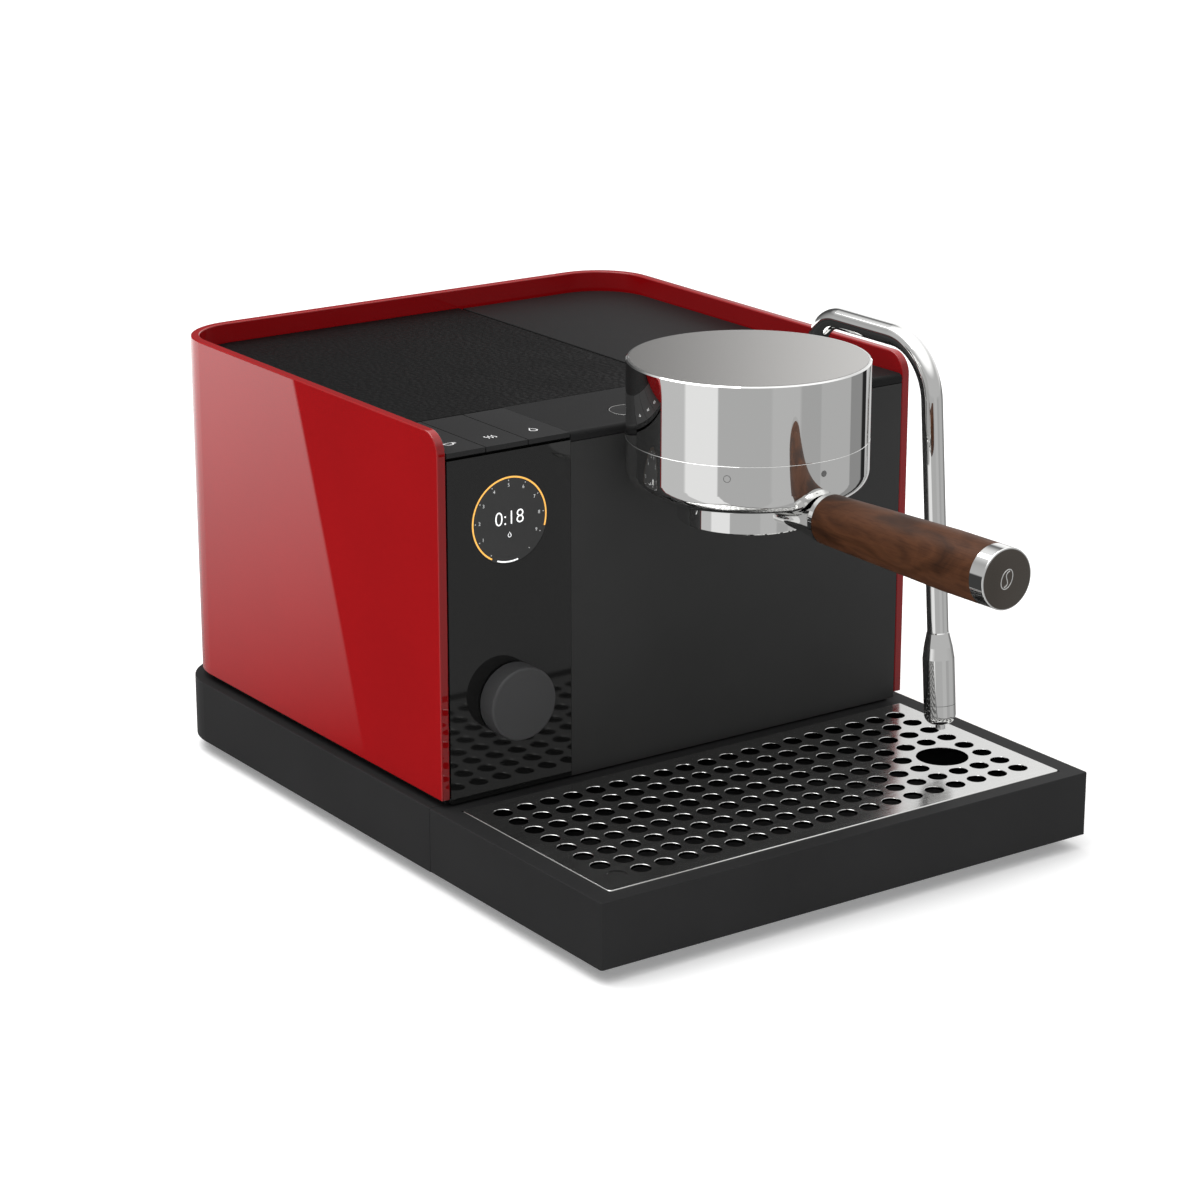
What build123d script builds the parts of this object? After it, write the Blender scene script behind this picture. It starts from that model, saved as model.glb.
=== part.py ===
from build123d import *
import math
import os

# Espresso machine with a painted steel shell, a drip tray and a round brew group.
# Units are millimetres. X is to the machine's right, Y to the back and Z up. The origin is on
# the worktop, under the middle of the overall box, with the portafilter handle included.

# ---------------------------------------------------------------- driving dimensions
WIDTH = 315.0  # base and drip tray, side to side
DEPTH = 435.0  # base and drip tray, front to back
HANDLE_REACH = 105.0  # how far the handle end stands ahead of the tray
FOOT_H = 8.0
BASE_H = 35.5
TRAY_DEPTH = 155.0
BASE_R = 37.0  # rear corners of the base, in plan

FRONT_Y = HANDLE_REACH - (DEPTH + HANDLE_REACH) / 2
REAR_Y = FRONT_Y + DEPTH
HANDLE_END_Y = FRONT_Y - HANDLE_REACH
SEAM_Y = FRONT_Y + TRAY_DEPTH  # joint line between the tray and the base
BASE_Z = FOOT_H
BASE_TOP = FOOT_H + BASE_H
PLATE_T = 2.5
PLATE_TOP = BASE_Z + PLATE_T
PLATE_HALF = 146.0
PLATE_FRONT = FRONT_Y + 8.0
PLATE_INSET = 6.0  # floor plate inside the rear and the corners of the base
HOUSING_T = 3.5
LEDGE_T = 3.0  # top of the base round the shell
COLLAR_H = 8.5  # collar that the shell stands round
COLLAR_T = 2.5
BOSS_R = 5.5
BOSS_TOP = BASE_TOP - 6.0
RIB_T = 3.0
FOOT_R = 16.0
FOOT_TOP_R = 14.0
FOOT_RECESS_R = 5.2
FOOT_RECESS_H = 4.0
FOOT_SCREW_R = 2.6
FOOT_HEAD_R = 4.8
FOOT_HEAD_H = 2.6
HOUSING_SCREW_R = 1.8
HOUSING_HEAD_R = 3.6
HOUSING_HEAD_H = 1.8
HOUSING_SCREW_L = 15.5  # above the floor plate

# allowances
HOLE_FIT = 0.1  # radius of a close hole over its screw or stub
HOLE_CLEAR = 0.4  # radius of a free hole over its screw, and the gap round a loose part
WELD = 0.1  # overlap that joins two shapes into one
LOW = 0.0  # a cut right through runs from this height
HIGH = 300.0  # to this one
WIDE = 160.0  # and past this distance to either side
DEEP = 280.0  # and past this distance to the back

# painted shell: one sheet bent round the left, back and right sides
SHELL_W = 306.0
SHELL_T = 5.0
SHELL_FRONT = FRONT_Y + 149.5
SHELL_REAR = REAR_Y - 2.5
SHELL_R = 35.5
SHELL_Z = BASE_TOP + 4.5
SHELL_TOP = 243.0
SHELL_NOSE_R = 12.0  # rounding of the front top corners, seen from the side
SHELL_EDGE_R = 0.8  # easing of the sheet's front and top edges
INNER_HALF = SHELL_W / 2 - SHELL_T
INNER_REAR = SHELL_REAR - SHELL_T
INNER_R = SHELL_R - SHELL_T

# top surface
TOP_Z = 232.0
DECK_TOP = 228.0
DECK_T = 3.0
TRIM_GAP = 0.4  # gap between the inside of the shell and the trim it surrounds
STRIP_REAR = 47.6  # rear edge of the keys and of the front strip
SPLIT_X = -72.2  # between the glossy column and the matte panel
MAT_RIGHT = 37.8
MAT_EDGE_R = 0.8
STRIP_EDGE_R = 2.5
DRUM_GAP = 0.5
BULKHEAD_HALF = 145.0
BULKHEAD_TOP = 222.0
LID_LEFT = 39.0
PANEL_T = 3.0
PANEL_Z = BASE_TOP + 1.3
PANEL_TOP = 226.8
CONTROL_TOP = 228.0
BULKHEAD_Y = -6.5
BULKHEAD_T = 1.5

# drip tray and grate
TRAY_REAR = SEAM_Y - 0.3
TRAY_Z = BASE_Z + 0.3
TRAY_CORNER_R = 1.5
TRAY_TOP_R = 0.7
TRAY_WALL = 3.0
SUMP_HALF = 142.5
SUMP_Z = 15.0
SUMP_LEDGE = 3.5  # ledge that carries the grate, front to back
SUMP_WALL = 2.5
SUMP_FLOOR_T = 2.5
TRAY_UNDER_HALF = 149.5
GRATE_GAP = 0.3
GRATE_HALF = 146.0
GRATE_Y0 = FRONT_Y + 9.8
GRATE_Y1 = FRONT_Y + 141.8
GRATE_TOP = BASE_TOP + 0.5
GRATE_T = 1.5
GRATE_EDGE = 0.2  # easing of the punched holes' upper edges
GRATE_CORNER_R = 2.0
GRATE_RIM_R = 0.6
HOLE_R = 5.1
HOLE_PITCH = 14.5
HOLE_COLUMNS = 19
HOLE_ROWS = 8
HOLE_FIRST_X = -HOLE_PITCH * (HOLE_COLUMNS - 1) / 2
HOLE_FIRST_Y = FRONT_Y + 25.3
WAND_HOLE_R = 14.0
WAND_HOLE_X = HOLE_FIRST_X + 16.5 * HOLE_PITCH
WAND_HOLE_Y = HOLE_FIRST_Y + 2.5 * HOLE_PITCH

# brew group
GROUP_Y = FRONT_Y + 95.0
DRUM_R = 62.5
DRUM_T = 3.0
DRUM_TOP = 272.3
DRUM_SEAM_Z = 231.7
DRUM_BOTTOM = 204.8
DRUM_EDGE_R = 11.0
SEAM_EDGE = 0.35  # chamfer that marks the joint between the drum and its lower ring
RING_HOLE_R = 43.0
CASTING_R = 50.0
BAYONET_Z = 207.4
CASTING_Z = 211.5
EAR_CAVITY_R = 42.5
EAR_CAVITY_TOP = 217.2
GASKET_TOP = 226.0
GASKET_R = 37.3
GASKET_BORE_R = 29.2
SCREEN_R = 28.3
SCREEN_Z = 214.5
SCREEN_T = 0.8
SCREEN_SCREW_R = 2.5
SCREEN_HEAD_R = 4.5
SCREEN_HEAD_H = 2.2
CASTING_TOP = 238.0
ARM_HALF = 25.0
ARM_TOP = 224.4
UNLOCK_ANGLE = -45.0  # from locked, handle to the front, towards the machine's left

# portafilter
FILTER_R = 35.8
FILTER_Z = 188.5
FILTER_TOP = 217.5
BASKET_R = 30.0
BASKET_Z = 191.0
BASKET_RIM_R = 34.8
BASKET_T = 0.7
BASKET_HOLE_R = 0.9
BASKET_HOLE_STEP = 4.6
BASKET_HOLE_RANKS = 5
SPRING_Z = 206.0
SPRING_R = 31.25
WIRE_R = 0.8
EAR_R = 41.5
EAR_TOP = 216.2
EAR_SPREAD = 36.0
SLOT_SPREAD = 42.0
HANDLE_Z = 203.0
HANDLE_TILT = 1.0  # degrees, the free end a little higher
HANDLE_NEAR_Y = GROUP_Y - 69.0
HANDLE_NEAR_R = 12.9
HANDLE_FAR_R = 15.2
CAP_LENGTH = 9.5
FERRULE_LENGTH = 3.0
HANDLE_FACE_Y = HANDLE_END_Y + 0.24  # before the tilt, which brings the lower edge forward
WOOD_Y = HANDLE_NEAR_Y - 0.25
STUD_R = 4.0
STUD_END_Y = HANDLE_NEAR_Y + 5.4

# steam wand
WAND_X = WAND_HOLE_X
WAND_Y = 11.0
WAND_R = 5.75
WAND_RUN_Z = 266.3
WAND_KNEE_Y = -83.9  # where the run and the drop would meet
WAND_LEAN = 4.8  # degrees from vertical
WAND_REAR_BEND = 20.0
WAND_FRONT_BEND = 32.0
BALL_R = 7.4
BALL_Z = 224.0
SLEEVE_TOP_Z = 113.0
SLEEVE_SHOULDER = 14.5
SLEEVE_R = 8.6
WAND_WALL = 1.2
NUT_R = BALL_R + 3.9
NUT_TOP = TOP_Z + 3.0
NUT_EDGE_R = 1.2
NECK_CLEAR = 0.35  # nut round the wand
SOCKET_H = 13.0
NOZZLE_R = 2.6
NOZZLE_BORE_R = 1.0
TIP_NOSE_R = 5.5
TIP_SEAM_Z = 73.6
TIP_BOTTOM_Z = 62.2
NOZZLE_BOTTOM_Z = 59.3

# display and knob on the glossy column
COLUMN_X = -110.1
DISPLAY_Z = 192.0
DISPLAY_R = 23.2
KNOB_Z = 96.0
KNOB_R = 19.6
KNOB_FRONT = SHELL_FRONT - 13.0
KNOB_GAP = 1.0
KNOB_WALL = 2.5
KNOB_FACE_T = 3.0
KNOB_EDGE_R = 1.4
SHAFT_R = 3.0
RUN_FIT = 0.05
LENS_T = 2.4
ENCODER_HALF = 8.0

# keys and the round button
KEY_EDGES = (-147.4, -124.0, -98.3, SPLIT_X - 0.3)
KEY_MIDDLES = [(a + b) / 2 for a, b in zip(KEY_EDGES[:-1], KEY_EDGES[1:])]
KEY_GAP = 0.6
KEY_T = 2.6
KEY_TOP = TOP_Z + 0.2
KEY_POST_Y = 0.0
KEY_POST_Z = 225.7
KEY_POST_R = 2.2
KEY_HOLE_R = 3.2
BUTTON_X = -20.0
BUTTON_Y = 5.5
BUTTON_R = 11.5
BOARD_Z = 214.4
BOARD_T = 1.6
SWITCH_HALF_W = 4.0
SWITCH_H = 5.0
PLUNGER_TOP = 224.3
BUTTON_POST_R = 2.4

# water tank behind the strip, on the right
TANK_X0 = 42.0
TANK_X1 = 145.4
TANK_Y0 = 51.0
TANK_Y1 = 257.0
TANK_Z0 = 92.6
TANK_TOP = 228.0
TANK_T = 2.4
TANK_R = 26.0
TANK_SMALL_R = 6.0
LID_REAR = 259.5
LID_Z = 228.4
LID_GAP = 0.7  # beside the shell
LID_CORNER_R = INNER_R + 4.0
LID_EDGE_R = 0.6
LID_RIB_DEPTH = 5.0
LID_RIB_IN = 0.8  # rib inside the tank's wall
LID_RIB_T = 1.8
SHELF_Z = 90.0
SHELF_T = 2.0
SHELF_X = (40.0, 145.0)
SHELF_Y = (53.0, 238.0)
SHELF_LEG_X = (46.0, 134.0)
SHELF_LEG_Y = (60.0, 212.0)
SHELF_LEG_R = 4.0
SEAT_R = 12.2
SEAT_FLANGE_R = 15.0
SEAT_DEPTH = 12.0
SEAT_FLOOR = 7.5  # socket floor below the shelf
SPOUT_R = 4.5
SPOUT_END = 22.0  # below the shelf
WATER_BORE_R = 2.5
VALVE_X = 95.0
VALVE_Y = 80.0
VALVE_R = 9.0
VALVE_STEM_R = 5.9

# rear connections, in the back of the base
INLET_X = -95.0
INLET_Z = 26.0
ROCKER_X = -57.0
ROCKER_Y = REAR_Y - 9.0
ROCKER_TILT = 8.0
PIVOT_R = 1.6
PIVOT_HALF = 9.6
INLET_HALF_X = 15.0
INLET_HALF_Z = 12.0
INLET_DEPTH = 22.0
SOCKET_HALF_X = 12.1
SOCKET_HALF_Z = 8.3
SOCKET_DEPTH = 16.0
PINS = ((-7.0, -2.0), (0.0, 2.0), (7.0, -2.0))
SWITCH_HALF = 11.0
SWITCH_DEPTH = 18.0
SWITCH_MOUTH = 8.0
SWITCH_WELL = 14.0
PADDLE_HALF_X = 6.6
PADDLE_HALF_Z = 7.6
PADDLE_BACK = 3.0
PADDLE_FACE = 7.0

# parts inside
BOILER_X = -45.0
BOILER_Y = 85.0
BOILER_R = 42.0
BOILER_Z0 = 95.0
BOILER_Z1 = 185.0
BOILER_FLANGE_R = 49.0
BOILER_WALL = 2.5
BOILER_FLANGE_T = 4.0
BOILER_LID_TOP = BOILER_Z1 + 4.5
BOILER_BOLT_CIRCLE = 45.5
BOILER_BOLTS = 6
BOLT_R = 2.0
BOLT_HEAD_R = 3.4
BOLT_HEAD_H = 3.0
BOLT_LENGTH = 10.0
BOILER_LEG_R = 4.0
BOILER_LEG_CIRCLE = 32.0
HEATER_R = 3.5
HEATER_HALF = 16.0
HEATER_LOW_Z = 108.0
HEATER_BEND = 12.0
PUMP_X = 92.0
PUMP_Z = 46.0
PUMP_R = 17.0
PUMP_Y0 = 120.0
PUMP_Y1 = 195.0
SOLENOID_Z0 = 150.0
SOLENOID_Z1 = 176.0
SOLENOID_HALF = 14.0
SOLENOID_REAR = 18.0
COIL_R = 11.0
COIL_REAR = 42.0
PUMP_OUTLET_R = 8.0
PUMP_OUTLET_L = 18.0
PUMP_INTAKE_R = 5.0
PUMP_INTAKE_L = 14.0
PUMP_MOUNT_HALF = 21.0
PUMP_MOUNT_T = 12.0
WATER_TUBE_R = 3.0
STEAM_TUBE_R = 2.5
PIPE_GAP = 0.1  # between a tube's end and what it plugs into
HIGH_PIPE_Z = 208.0  # water tube over the boiler
VALVE_PIPE_Z = 206.0
STEAM_PIPE_Z = 202.0
BEHIND_PIPE = 14.0  # run of the pump's tube behind its outlet

# circuit boards
MAIN_BOARD = (-142.0, -78.0, 60.0, 205.0)  # left, right, bottom, top
MAIN_BOARD_GAP = 4.0
STANDOFF_R = 2.5
# Components of the main board: left, bottom, width, height and depth.
CHIPS = ((-132, 80, 30, 20, 14), (-130, 120, 18, 18, 4), (-104, 150, 16, 34, 9))
SUPPLY = (-140.0, -70.0, 155.0, 235.0)  # left, right, front, rear
SUPPLY_Z = 18.0

FOOT_PLACES = [(x, y) for x in (-112.0, 112.0) for y in (FRONT_Y + 43.0, REAR_Y - 40.0)]
HOUSING_BOSSES = [(-138.0, 30.0), (138.0, 30.0), (-130.0, 250.0), (130.0, 250.0)]


# ---------------------------------------------------------------- shape helpers
def block(x0, x1, y0, y1, z0, z1):
    """A box between two corners."""
    return Pos((x0 + x1) / 2, (y0 + y1) / 2, (z0 + z1) / 2) * Box(x1 - x0, y1 - y0, z1 - z0)


def rod(r, z0, z1, x=0.0, y=0.0):
    """An upright cylinder."""
    return Pos(x, y, (z0 + z1) / 2) * Cylinder(r, z1 - z0)


def rod_y(r, y0, y1, x, z):
    """A cylinder along Y."""
    return Pos(x, (y0 + y1) / 2, z) * Rot(90, 0, 0) * Cylinder(r, y1 - y0)


def rod_x(r, x0, x1, y, z):
    """A cylinder along X."""
    return Pos((x0 + x1) / 2, y, z) * Rot(0, 90, 0) * Cylinder(r, x1 - x0)


def ring(r_out, r_in, z0, z1, x=0.0, y=0.0):
    """An upright tube."""
    return rod(r_out, z0, z1, x, y) - rod(r_in, z0 - 1, z1 + 1, x, y)


def plan(half, y0, y1, rear_r):
    """A rectangle centred on X whose two rear corners are round."""
    sketch = Pos(0, (y0 + y1) / 2) * Rectangle(2 * half, y1 - y0)
    return fillet(sketch.vertices().sort_by(Axis.Y)[-2:], rear_r)


def slab(sketch, z0, z1):
    """A plan outline raised between two heights."""
    return Pos(0, 0, z0) * extrude(sketch, z1 - z0)


def turned(points, x=0.0, y=0.0):
    """A solid of revolution about an upright axis, from (radius, height) points."""
    face = make_face(Polyline([Vector(r, 0, z) for r, z in points], close=True))
    return Pos(x, y, 0) * revolve(face, Axis.Z, 360)


def tube(points, bends, r, r_in=0.0):
    """A bent tube or rod of radius r along straight runs joined by arcs."""
    path = FilletPolyline(*points, radius=bends)
    section = (path ^ 0) * Circle(r)
    if r_in:
        section = section - (path ^ 0) * Circle(r_in)
    return sweep(section, path=path)


def group_sector(r_in, r_out, z0, z1, middle, spread):
    """A sector of a ring about the brew group's axis, angles in degrees."""
    start = middle - spread / 2
    reach = 1.5 * r_out
    angles = [math.radians(start + spread * i / 4) for i in range(5)]
    rim = [Vector(reach * math.cos(a), reach * math.sin(a)) for a in angles]
    wedge = make_face(Polyline([Vector(0, 0)] + rim, close=True))
    sector = wedge & (Circle(r_out) - Circle(r_in))
    return Pos(0, GROUP_Y, z0) * extrude(sector, z1 - z0)


# ---------------------------------------------------------------- base and shell
def base_plate():
    """Steel floor plate, which also runs forward under the drip tray."""
    outline = plan(PLATE_HALF, PLATE_FRONT, REAR_Y - PLATE_INSET, BASE_R - PLATE_INSET)
    plate = slab(outline, BASE_Z, PLATE_TOP)
    for x, y in FOOT_PLACES:
        plate -= rod(FOOT_SCREW_R + HOLE_FIT, LOW, HIGH, x, y)
    for x, y in HOUSING_BOSSES:
        plate -= rod(HOUSING_SCREW_R + HOLE_CLEAR, LOW, HIGH, x, y)
    return plate


def feet():
    """Four rubber feet, each with a recess for its screw head."""
    bore = FOOT_SCREW_R + HOLE_FIT
    profile = [(bore, FOOT_RECESS_H), (bore, FOOT_H), (FOOT_TOP_R, FOOT_H), (FOOT_R, 1),
               (FOOT_R - 0.8, 0), (FOOT_RECESS_R, 0), (FOOT_RECESS_R, FOOT_RECESS_H)]
    return Part() + [turned(profile, x, y) for x, y in FOOT_PLACES]


def base_screws():
    """Screws through the feet, and screws that hold the housing to the floor plate."""
    screws = Part()
    for x, y in FOOT_PLACES:
        screws += rod(FOOT_HEAD_R, FOOT_RECESS_H - FOOT_HEAD_H, FOOT_RECESS_H, x, y)
        screws += rod(FOOT_SCREW_R, FOOT_RECESS_H - WELD, PLATE_TOP, x, y)
    for x, y in HOUSING_BOSSES:
        screws += rod(HOUSING_HEAD_R, BASE_Z - HOUSING_HEAD_H, BASE_Z, x, y)
        screws += rod(HOUSING_SCREW_R, BASE_Z - WELD, PLATE_TOP + HOUSING_SCREW_L, x, y)
    return screws


def base_housing():
    """Moulded rear base: outer wall, top ledge and the collar that locates the shell."""
    outer = slab(plan(WIDTH / 2, SEAM_Y, REAR_Y, BASE_R), BASE_Z, BASE_TOP)
    outer = fillet(outer.edges().group_by(Axis.Z)[-1].sort_by(Axis.Y)[1:], 0.8)
    collar_half = INNER_HALF - TRIM_GAP
    outline = plan(collar_half, SEAM_Y, INNER_REAR - TRIM_GAP, INNER_R)
    collar = slab(outline, BASE_TOP - LEDGE_T, BASE_TOP + COLLAR_H)
    wall = HOUSING_T
    hollow = plan(WIDTH / 2 - wall, SEAM_Y + wall, REAR_Y - wall, BASE_R - wall)
    body = outer - slab(hollow, BASE_Z - 1, BASE_TOP - LEDGE_T) + collar
    well_half, well_rear = collar_half - COLLAR_T, INNER_REAR - TRIM_GAP - COLLAR_T
    well = plan(well_half, SEAM_Y + COLLAR_T, well_rear, INNER_R - COLLAR_T)
    body -= slab(well, BASE_TOP - LEDGE_T - 1, BASE_TOP + COLLAR_H + 1)
    plate_slot = PLATE_HALF + 0.6
    body -= block(-plate_slot, plate_slot, SEAM_Y - 1, SEAM_Y + wall + 1.5, LOW, PLATE_TOP + HOLE_CLEAR)
    for x, y in HOUSING_BOSSES:
        body += rod(BOSS_R, PLATE_TOP, BOSS_TOP, x, y)
        # The rear ribs end sooner, because the wall curves inwards there.
        in_corner = y > REAR_Y - BASE_R
        rib_end = math.copysign(WIDTH / 2 - (6.5 if in_corner else 2.5), x)
        left, right = sorted((x, rib_end))
        body += block(left, right, y - RIB_T / 2, y + RIB_T / 2, PLATE_TOP, BOSS_TOP)
        body -= rod(HOUSING_SCREW_R + HOLE_FIT, PLATE_TOP - 1, PLATE_TOP + HOUSING_SCREW_L + 2.5, x, y)
    for x, half_x, half_z in ((INLET_X, INLET_HALF_X, INLET_HALF_Z), (ROCKER_X, SWITCH_HALF, SWITCH_HALF)):
        half_x, half_z = half_x + 0.2, half_z + 0.2
        body -= block(x - half_x, x + half_x, REAR_Y - 6, REAR_Y + 1, INLET_Z - half_z, INLET_Z + half_z)
    return body


def outer_shell():
    """Painted sheet bent in a U round the left side, the back and the right side."""
    shell = slab(plan(SHELL_W / 2, SHELL_FRONT, SHELL_REAR, SHELL_R), SHELL_Z, SHELL_TOP)
    shell -= slab(plan(INNER_HALF, SHELL_FRONT - 1, INNER_REAR, INNER_R), SHELL_Z - 1, SHELL_TOP + 1)
    noses = shell.edges().filter_by(Axis.X).group_by(Axis.Z)[-1].group_by(Axis.Y)[0]
    shell = fillet(noses, SHELL_NOSE_R)
    rim = [edge for edge in shell.edges().group_by(Axis.Z)[-1] if edge.length > SHELL_T + 0.1]
    arcs = [edge for edge in shell.edges().filter_by(GeomType.CIRCLE)
            if edge.center().Y < SHELL_FRONT + SHELL_NOSE_R and edge.center().Z > SHELL_TOP - SHELL_NOSE_R]
    fronts = shell.edges().filter_by(Axis.Z).group_by(Axis.Y)[0]
    return fillet(rim + arcs + list(fronts), SHELL_EDGE_R)


# ---------------------------------------------------------------- drip tray
def tray_tub():
    """Slide-out tray body with a sump, a ledge for the grate and a hollow rim."""
    half = WIDTH / 2
    tub = block(-half, half, FRONT_Y, TRAY_REAR, TRAY_Z, BASE_TOP)
    tub = fillet(tub.edges().filter_by(Axis.Z).sort_by(Axis.Y)[:2], TRAY_CORNER_R)
    top_edges = tub.edges().group_by(Axis.Z)[-1].sort_by(Axis.Y)[:-1]
    tub = fillet(top_edges, TRAY_TOP_R)
    pocket = GRATE_HALF + GRATE_GAP
    ledge_z = GRATE_TOP - GRATE_T - 0.1
    tub -= block(-pocket, pocket, GRATE_Y0 - GRATE_GAP, GRATE_Y1 + GRATE_GAP, ledge_z, BASE_TOP + 1)
    tub -= block(-SUMP_HALF, SUMP_HALF, GRATE_Y0 + SUMP_LEDGE, GRATE_Y1 - SUMP_LEDGE, SUMP_Z, ledge_z + 1)
    wall_out = GRATE_GAP + SUMP_WALL
    core_half = GRATE_HALF + wall_out
    core = block(-core_half, core_half, GRATE_Y0 - wall_out, GRATE_Y1 + wall_out, LOW, BASE_TOP)
    inner = half - TRAY_WALL
    hollow_top = BASE_TOP - TRAY_WALL
    tub -= block(-inner, inner, FRONT_Y + TRAY_WALL, TRAY_REAR - TRAY_WALL, LOW, hollow_top) - core
    # The floor plate runs forward under the tray.
    under_z = SUMP_Z - SUMP_FLOOR_T
    tub -= block(-TRAY_UNDER_HALF, TRAY_UNDER_HALF, FRONT_Y + 5, TRAY_REAR + 1, LOW, under_z)
    return tub


def drip_grate():
    """Flat steel grate, punched with rows of holes and a larger hole under the wand."""
    grate = block(-GRATE_HALF, GRATE_HALF, GRATE_Y0, GRATE_Y1, GRATE_TOP - GRATE_T, GRATE_TOP)
    grate = fillet(grate.edges().filter_by(Axis.Z), GRATE_CORNER_R)
    grate = fillet(grate.edges().group_by(Axis.Z)[-1], GRATE_RIM_R)
    punches = Pos(WAND_HOLE_X, WAND_HOLE_Y) * Circle(WAND_HOLE_R)
    for column in range(HOLE_COLUMNS):
        for row in range(HOLE_ROWS):
            x = HOLE_FIRST_X + column * HOLE_PITCH
            y = HOLE_FIRST_Y + row * HOLE_PITCH
            in_wand_hole = math.hypot(x - WAND_HOLE_X, y - WAND_HOLE_Y) < WAND_HOLE_R
            is_dimple = column == 0 and row == 0
            if not in_wand_hole and not is_dimple:
                punches += Pos(x, y) * Circle(HOLE_R)
    grate -= slab(punches, GRATE_TOP - GRATE_T - 1, GRATE_TOP + 1)
    rims = grate.faces().sort_by(Axis.Z)[-1].inner_wires()
    grate = chamfer([edge for rim in rims for edge in rim.edges()], GRATE_EDGE)
    dimple = rod(HOLE_R, GRATE_TOP - 0.4, GRATE_TOP + 1, HOLE_FIRST_X, HOLE_FIRST_Y)
    return grate - dimple


# ---------------------------------------------------------------- front and top panels
def drum_clearance(z0, z1):
    """The room that the panels leave round the brew drum."""
    return rod(DRUM_R + DRUM_GAP, z0, z1, 0, GROUP_Y)


def control_panel():
    """Glossy column that carries the display and the knob."""
    panel = block(KEY_EDGES[0], SPLIT_X - 0.1, SHELL_FRONT, SHELL_FRONT + PANEL_T, PANEL_Z, CONTROL_TOP)
    panel -= rod_y(DISPLAY_R + 0.2, SHELL_FRONT - 1, 0, COLUMN_X, DISPLAY_Z)
    return panel - rod_y(SHAFT_R + 0.5, SHELL_FRONT - 1, 0, COLUMN_X, KNOB_Z)


def front_panel():
    """Matte panel behind the cup space, notched round the brew drum."""
    right = INNER_HALF - TRIM_GAP
    panel = block(SPLIT_X + 0.1, right, SHELL_FRONT, SHELL_FRONT + PANEL_T, PANEL_Z, PANEL_TOP)
    return panel - drum_clearance(DRUM_BOTTOM - 1, TOP_Z + 10)


def bulkhead():
    """Sheet-steel wall behind the front panels, which carries the brew group."""
    rear = BULKHEAD_Y + BULKHEAD_T
    return block(-BULKHEAD_HALF, BULKHEAD_HALF, BULKHEAD_Y, rear, PLATE_TOP + 0.4, BULKHEAD_TOP)


def top_deck():
    """Moulded deck under the keys, the strip and the cup mat, open over the water tank."""
    outline = plan(INNER_HALF - TRIM_GAP, SEAM_Y - 1, INNER_REAR - TRIM_GAP, INNER_R)
    deck = slab(outline, DECK_TOP - DECK_T, DECK_TOP)
    deck -= block(LID_LEFT + 0.5, WIDE, STRIP_REAR + TRIM_GAP, DEEP, LOW, HIGH)
    deck -= drum_clearance(LOW, HIGH)
    deck -= rod(NUT_R + 0.3, LOW, HIGH, WAND_X, WAND_Y)
    deck -= rod(BUTTON_POST_R + 0.6, LOW, HIGH, BUTTON_X, BUTTON_Y)
    for middle in KEY_MIDDLES:
        deck -= rod(KEY_HOLE_R, LOW, HIGH, middle, KEY_POST_Y)
    return deck


def top_strip():
    """Front strip of the top, with a rounded front edge, round the group and the wand."""
    right = INNER_HALF - TRIM_GAP
    strip = block(SPLIT_X, right, SHELL_FRONT, STRIP_REAR, DECK_TOP, TOP_Z)
    strip += block(SPLIT_X, right, SHELL_FRONT, SEAM_Y - 1.4, PANEL_TOP + 0.4, DECK_TOP + 1)
    front_edge = strip.edges().filter_by(Axis.X).group_by(Axis.Z)[-1].sort_by(Axis.Y)[0]
    strip = fillet(front_edge, STRIP_EDGE_R)
    strip -= drum_clearance(LOW, HIGH)
    strip -= rod(BUTTON_R + 0.3, LOW, HIGH, BUTTON_X, BUTTON_Y)
    return strip - rod(NUT_R + 0.3, LOW, HIGH, WAND_X, WAND_Y)


def cup_mat():
    """Silicone mat that covers the left of the top."""
    edge = INNER_HALF - TRIM_GAP
    mat = slab(plan(edge, STRIP_REAR + TRIM_GAP, INNER_REAR - TRIM_GAP, INNER_R), DECK_TOP, TOP_Z)
    mat -= block(MAT_RIGHT, WIDE, 0, DEEP, LOW, HIGH)
    return fillet(mat.edges().group_by(Axis.Z)[-1], MAT_EDGE_R)


# ---------------------------------------------------------------- keys, button, display, knob
def key(index):
    """One flat key, which tips on its round rear edge, with the post that works its switch."""
    x0 = KEY_EDGES[index] + (KEY_GAP / 2 if index else 0)
    x1 = KEY_EDGES[index + 1] - KEY_GAP / 2
    plate = block(x0, x1, SHELL_FRONT, STRIP_REAR - 0.4, KEY_TOP - KEY_T, KEY_TOP)
    rear_edges = plate.edges().filter_by(Axis.X).group_by(Axis.Y)[-1]
    plate = fillet(rear_edges, KEY_T / 2 - 0.01)
    return plate + rod(KEY_POST_R, KEY_POST_Z, KEY_TOP - 1, KEY_MIDDLES[index], KEY_POST_Y)


def key_board():
    """Circuit board under the keys with a tactile switch for each key and for the button."""
    foot = BOARD_Z + BOARD_T
    half = SWITCH_HALF_W
    board = block(-146, BUTTON_X + 12, -half, 20, BOARD_Z, foot)
    for x, y in [(x, KEY_POST_Y) for x in KEY_MIDDLES] + [(BUTTON_X, BUTTON_Y)]:
        board += block(x - half, x + half, y - half + WELD, y + half, foot - 0.5, foot + SWITCH_H)
        board += rod(2, foot + SWITCH_H - 1, PLUNGER_TOP, x, y)
    return board


def power_button():
    """Round button in the front strip, flush with its surface."""
    cap = rod(BUTTON_R, DECK_TOP + 1.0, TOP_Z, BUTTON_X, BUTTON_Y)
    cap = fillet(cap.edges().group_by(Axis.Z)[-1], 0.5)
    return cap + rod(BUTTON_POST_R, KEY_POST_Z - 0.1, DECK_TOP + 2, BUTTON_X, BUTTON_Y)


def display_lens():
    """Round window of the display, flush with the glossy column."""
    return rod_y(DISPLAY_R, SHELL_FRONT, SHELL_FRONT + LENS_T, COLUMN_X, DISPLAY_Z)


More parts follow.
